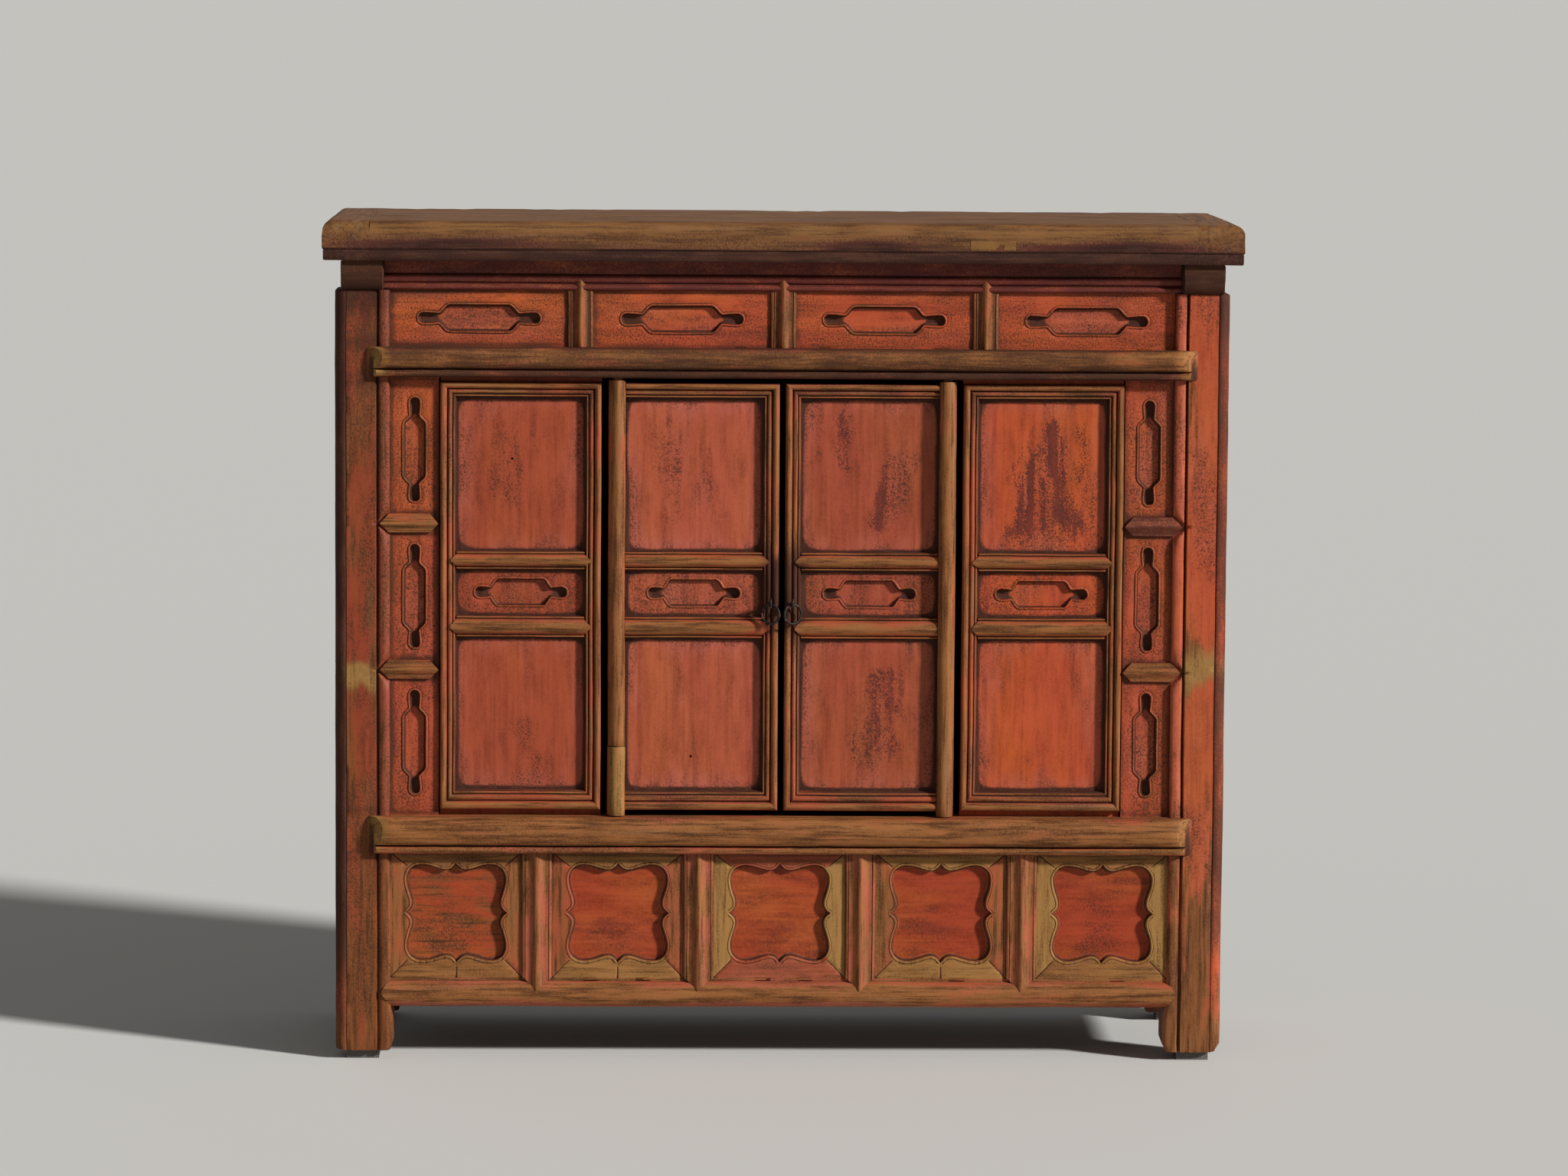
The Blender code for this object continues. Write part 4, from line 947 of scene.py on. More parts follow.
def topSection():  # round the plank field, with its seams
    look = topLook
    gap, ease = look["seamWidth"], look["backEase"]
    section = [(z, topFront + setback, worn, grime) for z, setback, worn, grime in edgeLevels()]
    seams = [topFront + (topBack - topFront) * share for share in look["seams"]]
    edges = [topFront + look["round"]] + seams + [topBack - ease]
    for start, end in zip(edges, edges[1:]):
        plank = turned(flat(start + gap, end - gap, topHeight, 5, 0.8, 0.1))
        section += plank if start in seams else plank[1:]
        if end in seams:
            section += [(topHeight - look["seamDepth"], end, 0.1, 1.2)]
    section += [(topHeight - ease, topBack, 0.6, 0.3), (underTop + ease, topBack, 0.4, 0.4)]
    section += [(underTop, topBack - ease, 0.3, 0.4)]
    stops = [topBack + (topFront - topBack) * share for share in (0.3, 0.6, 0.9)]
    return section + [(underTop, stop, 0.3, 0.4) for stop in stops]


def ageTop(spot, marks):
    if marks.worn > topLook["inlayWorn"] - 0.1:
        return
    ledge = underTop + topLook["lip"]
    flatTop = smooth(topHeight - 0.004, topHeight - 0.001, spot.z)
    marks.worn = marks.worn * (1 - flatTop) + 0.9 * flatTop
    dusky = noise.noise(Vector((spot.x / 0.14, 0.3, spot.z / 0.03)))
    lip = 1 - smooth(ledge - 0.001, ledge + 0.003, spot.z)
    belt = near(spot.z + 0.004 * dusky, underTop + 0.022, 0.017) * (1 - lip) * (1 - flatTop)
    blot = max(near(spot.x, -0.43, 0.20), near(spot.x, 0.11, 0.10), near(spot.x, 0.44, 0.16))
    marks.tone -= belt * (0.3 + 0.7 * blot + 0.5 * dusky) + lip * (0.4 + 0.5 * dusky)
    marks.tone += 0.45 * (1 - flatTop) * (1 - lip) * (1 - belt)
    marks.worn -= belt * 0.4 * blot + 0.2 * lip
    marks.grime += belt * (0.2 + 0.5 * blot) + lip * (0.62 + 0.3 * dusky) + 0.14
    marks.cracks += 0.55 * belt


field, battenOut = [corner.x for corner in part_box("top_end_batten_right")]
shape = Shape()
bar(shape, topSection(), "X", -field + topLook["joint"], field - topLook["joint"], 0.016)
inlayLow, inlayHigh = [underTop + rise for rise in topLook["inlay"]]
inlayBack = topFront + topLook["inlayDepth"]
inlay = [(inlayLow, topFront), (inlayHigh, topFront), (inlayHigh, inlayBack), (inlayLow, inlayBack)]
inlay = [(z, y, topLook["inlayWorn"], 0.0) for z, y in inlay]
bar(shape, inlay, "X", *topLook["inlaySpan"], 0.01, tone=topLook["inlayTone"])
dress(shape, "top_board", [topX], ageTop, 0.002)


def battenCorners(side, outer, fore, aft):
    return [Vector(pair) for pair in ((side * field, fore), (outer, fore), (outer, aft), (side * field, aft))]


for word, side in sides:
    shape = Shape()
    full = battenCorners(side, side * battenOut, topFront, topBack)
    rings = []
    for z, setback, worn, grime in edgeLevels():
        back = topBack - min(setback, topLook["battenBack"])
        corners = battenCorners(side, side * (battenOut - setback), topFront + setback, back)
        ring = []
        for k in range(4):
            count = max(1, round((full[(k + 1) % 4] - full[k]).length / topLook["battenStep"]))
            for i in range(count):
                spot = corners[k].lerp(corners[(k + 1) % 4], i / count)
                ring.append(shape.place(Vector((spot.x, spot.y, z)), worn, grime))
        rings.append(ring)
    for ring, after in zip(rings, rings[1:]):
        shape.join(ring, after)
    shape.face(rings[0])
    shape.face(rings[-1])
    dress(shape, f"top_end_batten_{word}", [topY], ageTop, 0.002)
print("top laid")

# Ridge-faced uprights of the frieze and the apron, pointed where they lap over a rail
uprightLook = {"rise": 0.007, "hollow": 0.0012, "fillet": 0.0045, "flat": 0.0022, "friezePoint": 0.015,
               "apronPoint": 0.016, "sharper": 1.15}


def ridgeSection(low, high, shoulder, ridge, back, worn, grime, fillet=0.0):
    look = uprightLook
    middle = (low + high) / 2
    half = [(low, back, 0.1, 0.9), (low, shoulder + 0.001, 0.2, 1.0)]
    half += [(low + 0.0012, shoulder - 0.0006, 0.6, 0.4)]
    if fillet:
        half += [(low + fillet - 0.0008, shoulder - 0.0010, 0.5, 0.3)]
        half += [(low + fillet, shoulder + 0.0002, 0.0, 1.2)]
        half += [(low + fillet + 0.0007, shoulder - 0.0012, 0.4, 0.5)]
    start = half[-1][0]
    for share in (0.25, 0.5, 0.75, 0.92):
        sag = look["hollow"] * math.sin(math.pi * share)
        across = start + (middle - look["flat"] / 2 - start) * share
        half.append((across, shoulder + (ridge - shoulder) * share + sag, worn, grime * (1 - share)))
    other = [(low + high - across, depth, worn, grime) for across, depth, worn, grime in half[::-1]]
    return half + [(middle, ridge, worn + 0.3, 0.0)] + other


def pointed(node, level, point):  # the end of an upright, drawn out to a point at its middle
    low, high = [corner.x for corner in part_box(node)]
    middle, half = (low + high) / 2, (high - low) / 2
    return lambda across, depth: level + point * (1 - uprightLook["sharper"] * abs(across - middle) / half)


def ageUpright(spot, marks):
    low = 1 - smooth(lowerLow, lowerTop, spot.z)
    marks.worn += 0.35 * drawnNoise(spot, 0.008, 0.06) + 0.16 - 0.08 * low
    marks.grime += 0.26 * (1 - low)
    marks.bloom += 0.3 + 0.4 * low


def upright(node, start, end, worn):
    low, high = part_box(node)
    shoulder = low.y + uprightLook["rise"]
    section = ridgeSection(low.x, high.x, shoulder, low.y, high.y, worn, 0.7, uprightLook["fillet"])
    barPiece(node, frameZ, section, "Z", start, end, 0.011, ageUpright)


for node in [f"frieze_stile_{i}" for i in range(1, 4)]:
    upright(node, upperTop + seat, pointed(node, friezeTop, uprightLook["friezePoint"]), 0.42)
for node in [f"apron_stile_{i}" for i in range(1, 5)]:
    upright(node, pointed(node, bottomTop, -uprightLook["apronPoint"]), lowerLow - seat, 0.46)
print("uprights set")

# Carved boards: from the board's face over a fine bead, down the wall to the sunk field
carving = [  # out from the field's edge, up from the board's face, worn, grime and painted shade
    (0.0044, 0.0, 0.1, 0.3),
    (0.0034, -0.0003, 0.0, 0.75),
    (0.0026, 0.0003, 0.3, 0.45),
    (0.0019, 0.0010, 0.5, 0.0),
    (0.0011, 0.0010, 0.5, 0.0),
    (0.0004, 0.0002, 0.3, 0.4),
    # down the wall and at its foot, the darkening is grime and painted shade in the recess
    (0.0, -0.0012, 0.1, 0.9),
    (-0.0005, -0.0046, 0.0, 1.0),
    (-0.0014, -0.0058, 0.0, 0.75),
    (-0.0032, -0.0060, 0.0, 0.0),
]
carvingDepth = 0.0040
friezeLook = {"length": 0.158, "tall": 0.034, "arm": 0.0135, "edge": 0.012, "spacing": 0.007}


def ageAndShadeField(marks, along, depth, length):  # even grime on the sunk field's floor, painted shade deepening to dark in its deep arms, and bloom on its floor
    if depth > carvingDepth:
        marks.grime += 0.15 + 1.0 * smooth(0.31, 0.38, abs(along) / length)
        marks.bloom += 0.3


def edgeCloseness(spot, low, high, reach):
    gap = min(spot.x - low[0], high[0] - spot.x, spot.z - low[1], high[1] - spot.z)
    return 1 - smooth(0.0, reach, gap)


def cornerCloseness(spot, low, high, reach):
    across = max(0.0, reach - min(spot.x - low[0], high[0] - spot.x))
    up = max(0.0, reach - min(spot.z - low[1], high[1] - spot.z))
    return smooth(0.75, 1.25, math.hypot(across, up) / reach)


def friezePanel(node):
    low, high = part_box(node)
    middle = (low.x + high.x) / 2
    clear = (low.x + tongue, upperTop), (high.x - tongue, friezeTop)

    def ageAndShadeFrieze(spot, marks):
        if spot.y > low.y + 2 * carvingDepth:
            return
        below = 1 - smooth(upperTop + 0.006, upperTop + 0.034, spot.z)
        leftward = max(0.0, -spot.x / postIn)
        marks.worn += 0.3 * leftward * noise.noise(spot / 0.022)
        # grime near the field's edges, and an even darkening that grows towards the left: dirt, and painted
        # shade for the weaker light on the left
        marks.grime += 0.42 * edgeCloseness(spot, *clear, friezeLook["edge"]) + 0.3 - 0.16 * spot.x / postIn
        marks.bloom += 0.3 * leftward
        marks.cracks += 0.4 * below + 0.3 * smooth(0.05, 0.1, abs(spot.x - middle)) + 0.06 + 0.16 * leftward
        ageAndShadeField(marks, spot.x - middle, spot.y - low.y, friezeLook["length"])

    outline = moved(cartouche(friezeLook), middle, (upperTop + friezeTop) / 2)
    carvedPlate(node, [boardX], [(outline, carving)], friezeLook["spacing"], (0.12, 0.1), ageAndShadeFrieze)


for i in range(1, 5):
    friezePanel(f"frieze_panel_{i}")

# Columns beside the posts: three upright fields each, parted by pointed muntins
columnLook = {
    "length": 0.136, "tall": 0.028, "arm": 0.0125, "edge": 0.012, "spacing": 0.007, "leafGap": 0.0016,
    "grime": {-1: 0.27, 1: 0.21}, "muntinTip": 0.012, "shoulder": 0.004, "darkMuntin": -0.66,
}
columnLevels = [lowerTop] + muntinLevels + [upperLow]
columnBays = list(zip(columnLevels, columnLevels[1:]))
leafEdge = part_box("leaf_frame_right")[1].x


def columnPanel(node, side):
    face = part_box(node)[0].y
    middle = side * (leafEdge + columnLook["leafGap"] + postIn) / 2
    edges = sorted((side * leafEdge, side * postIn))

    def ageAndShadeColumn(spot, marks):
        if spot.y > face + 2 * carvingDepth:
            return
        for low, high in columnBays:
            if low <= spot.z <= high:
                bottom = low + (muntinHalf if low > lowerTop else 0)
                over = high - (muntinHalf if high < upperLow else 0)
                clear = (edges[0], bottom), (edges[1], over)
                marks.grime += 0.5 * edgeCloseness(spot, *clear, columnLook["edge"])
                ageAndShadeField(marks, spot.z - (low + high) / 2, spot.y - face, columnLook["length"])
        # the left column is darker than the right: dirt, and painted shade for the weaker light on the left
        marks.grime += columnLook["grime"][side]
        marks.cracks += 0.2

    standing = stoodUp(cartouche(columnLook))
    outlines = [(moved(standing, middle, (low + high) / 2), carving) for low, high in columnBays]
    carvedPlate(node, [columnZ], outlines, columnLook["spacing"], (0.14, 0.15), ageAndShadeColumn)


def columnMuntin(node, tone):
    low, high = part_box(node)
    level, half = (low.z + high.z) / 2, (high.z - low.z) / 2

    def start(across, depth):
        return low.x + columnLook["muntinTip"] * abs(across - level) / half

    def end(across, depth):
        return high.x - columnLook["muntinTip"] * abs(across - level) / half

    section = ridgeSection(low.z, high.z, high.y - columnLook["shoulder"], low.y, high.y, 0.62, 0.8)
    barPiece(node, frameX, section, "X", start, end, 0.009, tone=tone)


for word, side in sides:
    columnPanel(f"column_panel_{word}", side)
    for place in muntinPlaces:
        tone = columnLook["darkMuntin"] if (word, place) == ("right", "upper") else 0.0
        columnMuntin(f"column_muntin_{word}_{place}", tone)
print("frieze and columns carved")

# Leaf and door frames: double-bead bars, mitred at the corners, with pointed middle rails
frameLook = {"thickness": 0.014, "stile": 0.021, "topRail": 0.020, "upperRail": 0.025, "lowerRail": 0.029,
             "footRail": 0.026, "middleField": 0.060, "point": 0.010, "pointSeat": 0.0006, "bead": 0.0036}
frameLow, frameHigh = [corner.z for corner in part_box("leaf_frame_right")]
railsTall = sum(frameLook[rail] for rail in ("topRail", "upperRail", "lowerRail", "footRail"))
tallField = (frameHigh - frameLow - railsTall - frameLook["middleField"]) / 2
fields = []
level = frameLow + frameLook["footRail"]
for tall, over in ((tallField, "lowerRail"), (frameLook["middleField"], "upperRail"), (tallField, "topRail")):
    fields.append((level, level + tall))
    level += tall + frameLook[over]


def edgeBar(width, face):  # across from the frame's outer edge to the opening
    back = face + frameLook["thickness"]
    unit = width / 21
    return [
        (0.0, back, 0.1, 0.8),
        (0.0, face + 0.006, 0.3, 0.6),
        *hump(0.0, unit * 8.6, face + 0.0045, 0.0045, 8, 0.85, 0.5)[1:],
        (unit * 9.2, face + 0.0060, 0.0, 1.1),
        # the inner humps' murk is an even darkening: grime, and painted shade in the frame's hollow
        *hump(unit * 9.8, unit * 15.8, face + 0.0056, 0.0026, 5, 0.62, 0.6, 0.3),
        (unit * 16.3, face + 0.0066, 0.0, 1.0),
        *hump(unit * 16.8, unit * 19.4, face + 0.0062, 0.0012, 3, 0.8, 0.8, 0.2),
        (unit * 20.4, face + 0.009, 0.5, 0.8),
        (width, back - 0.0004, 0.0, 1.0),
        (width, back, 0.0, 1.0),
    ]


def middleBar(low, high, face):
    back = face + frameLook["thickness"]
    start, end = low + frameLook["bead"], high - frameLook["bead"]
    return [
        (low, back, 0.3, 1.0),
        (low + 0.0006, face + 0.0085, 0.5, 0.9),
        *hump(low + 0.001, start, face + 0.0078, 0.0016, 3, 0.85, 0.9),
        (start + 0.0005, face + 0.0082, 0.0, 1.1),
        *hump(start + 0.001, end - 0.001, face + 0.0072, 0.0068, 9, 0.85, 0.6),
        (end - 0.0005, face + 0.0082, 0.0, 1.1),
        *hump(end, high - 0.001, face + 0.0078, 0.0016, 3, 0.85, 0.9),
        (high - 0.0006, face + 0.0085, 0.5, 0.9),
        (high, back, 0.3, 1.0),
    ]


def frameBars(shape, side, inner, outer, face, hinged):  # a hinged frame butts against its pivot stile
    look = frameLook
    stile = look["stile"]
    for at, way in [(inner, 1)] + ([] if hinged else [(outer, -1)]):
        section = [(side * (at + way * u), v, worn, grime) for u, v, worn, grime in edgeBar(stile, face)]

        def mitre(across, rail):
            return abs(abs(across) - at) * look[rail] / stile

        bar(shape, section, "Z", lambda u, v: frameLow + mitre(u, "footRail"),
            lambda u, v: frameHigh - mitre(u, "topRail"))
    left, right = sorted((side * inner, side * outer))
    cutLeft = 0 if hinged and side < 0 else 1
    cutRight = 0 if hinged and side > 0 else 1
    for at, way, width in ((frameLow, 1, look["footRail"]), (frameHigh, -1, look["topRail"])):
        section = [(at + way * u, v, worn, grime) for u, v, worn, grime in edgeBar(width, face)]

        def cut(across):
            return abs(across - at) * stile / width

        bar(shape, section, "X", lambda u, v: left + cutLeft * cut(u),
            lambda u, v: right - cutRight * cut(u), slot=1)
    for low, high in ((fields[0][1], fields[1][0]), (fields[1][1], fields[2][0])):
        level, half = (low + high) / 2, (high - low) / 2 - look["bead"] - 0.001

        def inset(across):  # how far a rail stops short of the frame's edge
            return stile - look["point"] * max(0.0, 1 - abs(across - level) / half) + look["pointSeat"]

        bar(shape, middleBar(low, high, face), "X", lambda u, v: left + cutLeft * inset(u),
            lambda u, v: right - cutRight * inset(u), slot=1)


handLook = {"level": 0.618, "tall": 0.105, "reach": 0.055, "sway": 0.012}


def handled(spot):  # dark from hands about the meeting stiles
    sway = handLook["sway"] * noise.noise(spot / 0.02)
    held = near(spot.z + sway, handLook["level"], handLook["tall"])
    return min(1.0, 1.25 * held * near(abs(spot.x) + sway, 0.0, handLook["reach"]))


def ageFrame(spot, marks):
    held = handled(spot)
    marks.worn += 0.4 * noise.noise(spot / 0.06) - 0.04 - 0.3 * held
    marks.grime += 0.14 + 0.25 * noise.noise(spot / 0.045) + held
    # darker towards the frame's top, under the upper rail
    marks.grime += 0.3 * smooth(frameHigh - 0.05, frameHigh, spot.z)
    marks.tone -= 0.3 * held
    marks.bloom += 0.3


boardLook = {"length": 0.120, "tall": 0.034, "arm": 0.0135, "edge": 0.018, "spacing": 0.0065, "pores": 0.45,
             "sway": 0.014, "overlap": 0.01}
stains = {  # strokes: from across and up to across and up, width at each end, stain, cracks
    "leaf_panel_left": [
        (-0.347, 0.81, -0.345, 0.77, 0.045, 0.05, 0.16, 0.3),
        (-0.33, 0.43, -0.325, 0.38, 0.03, 0.03, 0.2, 0.32),
    ],
    "door_panel_left": [
        (-0.154, 0.83, -0.150, 0.73, 0.03, 0.02, 0.16, 0.26),
        (-0.072, 0.80, -0.07, 0.73, 0.03, 0.03, 0.18, 0.22),
        (-0.14, 0.358, -0.03, 0.358, 0.006, 0.008, 0.32, 0.3),
    ],
    "door_panel_right": [
        (0.162, 0.785, 0.122, 0.717, 0.022, 0.020, 0.56, 0.4),
        (0.083, 0.846, 0.079, 0.79, 0.012, 0.014, 0.34, 0.5),
        (0.140, 0.50, 0.122, 0.42, 0.030, 0.034, 0.46, 0.42),
        (0.045, 0.86, 0.05, 0.80, 0.012, 0.012, 0.2, 0.35),
    ],
    "leaf_panel_right": [
        (0.326, 0.838, 0.300, 0.765, 0.007, 0.010, 0.56, 0.2),
        (0.334, 0.806, 0.312, 0.708, 0.010, 0.024, 0.68, 0.3),
        (0.347, 0.840, 0.362, 0.780, 0.009, 0.019, 0.68, 0.3),
        (0.356, 0.790, 0.380, 0.708, 0.015, 0.022, 0.68, 0.3),
        (0.340, 0.780, 0.346, 0.708, 0.005, 0.018, 0.56, 0.2),
        (0.398, 0.838, 0.396, 0.72, 0.014, 0.018, 0.46, 0.42),
        (0.300, 0.686, 0.420, 0.686, 0.013, 0.013, 0.36, 0.4),
        (0.318, 0.56, 0.330, 0.38, 0.006, 0.010, 0.24, 0.16),
    ],
}
nails = {"leaf_panel_left": [(-0.353, 0.793)], "door_panel_left": [(-0.118, 0.402)]}
nailRadius, nailSides = 0.0016, 10
nailHole = [(0.0006, 0.0, 0.0, 0.9), (0.0, -0.0006, 0.0, 1.4), (-0.0003, -0.0030, 0.0, 1.4)]


def strokeReach(spot, stroke):  # 1 in the middle of a tapered stroke, 0 beyond its width
    start, end = Vector(stroke[0:2]), Vector(stroke[2:4])
    way = end - start
    place = Vector((spot.x, spot.z))
    share = min(1.0, max(0.0, (place - start).dot(way) / way.length_squared))
    width = stroke[4] + (stroke[5] - stroke[4]) * share
    return 1 - smooth(0.3, 1.4, (place - start.lerp(end, share)).length / width)


def nailOutline(across, up):
    return [Vector(point[:2]) for point in roundSection(across, up, nailRadius, nailSides)]


def boardPiece(node, side, inner, outer):
    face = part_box(node)[0].y
    middle = side * (inner + outer) / 2
    edges = sorted((side * inner, side * outer))
    edge = boardLook["edge"]

    def ageAndShadeBoard(spot, marks):
        if spot.y > face + 2 * carvingDepth:
            return
        for index, (bottom, over) in enumerate(fields):
            if bottom - boardLook["overlap"] <= spot.z <= over + boardLook["overlap"]:
                clear = (edges[0], bottom), (edges[1], over)
                rub = 0.5 + 0.5 * noise.noise(spot / 0.05)
                # darkening along the field's edges and into its corners: grime, and painted shade where the
                # frame stands over the field
                marks.grime += 0.75 * edgeCloseness(spot, *clear, edge * 0.45)
                marks.grime += 0.5 * rub * edgeCloseness(spot, *clear, edge)
                marks.grime += 0.8 * cornerCloseness(spot, *clear, edge * 1.5)
                marks.cracks += 0.26 * rub * edgeCloseness(spot, *clear, edge * 1.6)
                if index == 1:
                    marks.cracks += 0.24
                    ageAndShadeField(marks, spot.x - middle, spot.y - face, boardLook["length"])
                else:
                    marks.bloom += 0.6 * edgeCloseness(spot, *clear, edge * 2.2)
        marks.grime += 0.7 * handled(spot)
        swayed = spot + noise.noise_vector(spot / 0.035) * boardLook["sway"]
        for stroke in stains[node]:
            reach = strokeReach(swayed, stroke)
            marks.stain = max(marks.stain, stroke[6] * reach)
            marks.cracks += 0.8 * stroke[7] * reach

    cuts = [(moved(cartouche(boardLook), middle, sum(fields[1]) / 2), carving)]
    cuts += [(nailOutline(*spot), nailHole) for spot in nails.get(node, [])]
    lacquer = agedLacquer(f"{node}_lacquer", "Z", {"pores": boardLook["pores"], **boardTints[node]})
    carvedPlate(node, [lacquer], cuts, boardLook["spacing"], (0.03, 0.0), ageAndShadeBoard)


for word, side in sides:
    for kind, hinged in (("leaf", False), ("door", True)):
        low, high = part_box(f"{kind}_frame_{word}")
        inner, outer = sorted((abs(low.x), abs(high.x)))
        shape = Shape()
        frameBars(shape, side, inner, outer, low.y, hinged)
        dress(shape, f"{kind}_frame_{word}", [frameZ, frameX], ageFrame, 0.0014)
        boardEnd = outer - (0 if hinged else frameLook["stile"])
        boardPiece(f"{kind}_panel_{word}", side, inner + frameLook["stile"], boardEnd)
print("leaves and doors framed")

# Round pivot stiles with their pins; the left one has a renewed foot
pivotLook = {
    "radius": 0.012, "arcFrom": 212, "arcSteps": 12, "play": 0.0014, "headPlay": 0.003, "ends": 0.0008,
    "pin": 0.0065, "pinSides": 16, "pinSink": 0.002,
    "splice": 0.417, "spliceSwell": 0.0006, "spliceTone": 0.8,
}


def pivotSection(low, high, side, swell=0.0):
    look = pivotLook
    inner, outer = sorted((abs(low.x), abs(high.x)))
    radius = look["radius"] + swell
    centre, depth = outer - look["radius"], low.y + look["radius"]
    section = [(inner, high.y, 0.1, 0.8), (inner, depth - 0.004, 0.2, 0.9)]
    for i in range(look["arcSteps"] + 1):
        turn = math.radians(look["arcFrom"] + (360 - look["arcFrom"]) * i / look["arcSteps"])
        lit = max(0, -math.sin(turn))
        across = centre + radius * math.cos(turn)
        section.append((across, depth + radius * math.sin(turn), 0.35 + 0.5 * lit, 0.5 * (1 - lit)))
    return mirrored(section + [(centre + radius, high.y, 0.2, 0.6)], side), (side * centre, depth)


for word, side in sides:
    look = pivotLook
    low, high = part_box(f"door_pivot_stile_{word}")
    section, axis = pivotSection(low, high, side)
    shape = Shape()
    bottom, head = lowerTop + look["play"], upperLow - look["headPlay"]
    start = bottom
    if word == "left":
        wider, axis = pivotSection(low, high, side, look["spliceSwell"])
        bar(shape, wider, "Z", bottom, look["splice"] - seat, 0.011, look["ends"], tone=look["spliceTone"])
        start = look["splice"] + seat
    bar(shape, section, "Z", start, head, 0.011, look["ends"])
    pin = roundSection(*axis, look["pin"], look["pinSides"], 0.6, 0.2)
    bar(shape, pin, "Z", low.z, bottom + look["pinSink"], 0.008, look["ends"])
    bar(shape, pin, "Z", head - look["pinSink"], high.z, 0.008, look["ends"])
    dress(shape, f"door_pivot_stile_{word}", [frameZ], ageFrame)

# Iron staples and the rings that hang in them
ringLook = {"radius": 0.0125, "wire": 0.0018, "steps": 44, "wireSides": 12, "twist": 28.0, "beaten": 0.06}
stapleLook = {"eye": 0.0055, "wire": 0.0017, "steps": 28, "wireSides": 10, "overlap": 0.0008, "ends": 0.0003}
rightward, backward = Vector((1, 0, 0)), Vector((0, 1, 0))


def wireLoop(shape, centre, radius, look, facing):
    turn = backward.rotation_difference(facing)
    aside = turn @ backward
    rings = []
    for i in range(look["steps"]):
        angle = math.tau * i / look["steps"]
        out = turn @ Vector((math.cos(angle), 0, math.sin(angle)))
        spot = centre + out * radius
        thick = look["wire"] * (1 - ringLook["beaten"] + ringLook["beaten"] * noise.noise(spot * 400))
        section = roundSection(0.0, 0.0, thick, look["wireSides"])
        rings.append([shape.place(spot + out * u + aside * v) for u, v, worn, grime in section])
    for ring, after in zip(rings, rings[1:] + rings[:1]):
        shape.join(ring, after)


for word, side in sides:
    low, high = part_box(f"ring_staple_{word}")
    eye, wire = stapleLook["eye"], stapleLook["wire"]
    middle = Vector(((low.x + high.x) / 2, low.y + eye + wire, (low.z + high.z) / 2))
    shape = Shape()
    wireLoop(shape, middle, eye, stapleLook, rightward)
    shank = roundSection(middle.x, middle.z, wire, stapleLook["wireSides"])
    bar(shape, shank, "Y", middle.y + eye - stapleLook["overlap"], high.y, 0.004, stapleLook["ends"])
    dress(shape, f"ring_staple_{word}", [iron], chips=0.0)
    joint = next(item for item in record["behaviour"]["joints"] if item["name"] == f"ring_{word}_swing")
    twist = math.radians(side * ringLook["twist"])
    centre = Vector(joint["pos_m"]) - Vector((0, 0, ringLook["radius"]))
    shape = Shape()
    wireLoop(shape, centre, ringLook["radius"], ringLook, Vector((-math.sin(twist), math.cos(twist), 0)))
    dress(shape, f"ring_pull_{word}", [iron], chips=0.0)
print("pivots and rings hung")

# Apron: scalloped surrounds with mitred corners over sunk boards
apronLook = {
    "side": 0.021, "top": 0.016, "foot": 0.022, "corner": 0.019, "bump": 0.0070, "lean": 0.55, "cusp": 0.002,
    "cuspFall": 14.0, "steps": 33, "edge": 0.007, "spacing": 0.0062, "sunk": 0.0045, "creaseStart": 0.002,
    "creaseStop": 0.0015, "split": (1, 2, 4),
}
scallopCut = [  # out from the opening's edge, up from the face, worn, grime and painted shade
    (0.0048, 0.0, 0.5, 0.1),
    (0.0036, 0.0, 0.4, 0.5),
    (0.0031, -0.0008, 0.0, 1.3),
    (0.0026, -0.0001, 0.4, 0.4),
    (0.0018, 0.0001, 0.5, 0.1),
    (0.0009, 0.0, 0.5, 0.1),
    (0.0, -0.0007, 0.4, 0.4),
    # down the opening's wall, the darkening is grime and painted shade in the recess
    (-0.0006, -0.0076, 0.0, 0.9),
    (-0.0014, -0.0088, 0.0, 0.7),
    (-0.004, -0.0090, 0.05, 0.1),
]
apronAges = (  # uprights and level members: worn, tone, bloom; sunk board: worn, stain, cracks, bloom
    {"upright": (0.1, 0.3, 0.2), "level": (0.45, 0.3, 0.3), "sunk": (0.42, 0.14, 0.42, 0.0)},
    {"upright": (0.0, 0.1, 0.2), "level": (0.4, 0.5, 0.4), "sunk": (0.05, 0.5, 0.1, 0.2)},
    {"upright": (0.55, 0.9, 0.0), "level": (-0.2, 0.0, 0.4), "sunk": (0.1, 0.42, 0.12, 0.1)},
    {"upright": (0.05, 0.2, 0.3), "level": (0.4, 0.6, 0.3), "sunk": (0.0, 0.36, 0.1, 0.0)},
    {"upright": (0.55, 1.0, 0.0), "level": (0.4, 0.4, 0.0), "sunk": (0.05, 0.3, 0.36, 0.0)},
)


def apronCreases(low, high, openLow, openHigh, split):  # mitres at the corners, and a joint below the middle
    look = apronLook
    stop = scallopCut[0][0] + look["creaseStop"]
    inset = look["corner"] * (1 - math.sqrt(0.5))
    creases = []
    for across, way in ((low[0], 1), (high[0], -1)):
        for up, edge, rise in ((low[1], openLow, 1), (high[1], openHigh, -1)):
            start = Vector((across, up))
            end = Vector((across + way * (look["side"] + inset), edge + rise * inset))
            reach = (end - start).length
            creases.append((start.lerp(end, look["creaseStart"] / reach), start.lerp(end, 1 - stop / reach)))
    if split:
        middle = (low[0] + high[0]) / 2
        foot, head = low[1] + look["creaseStart"], openLow - look["cusp"] - stop
        creases.append((Vector((middle, foot)), Vector((middle, head))))
    return creases


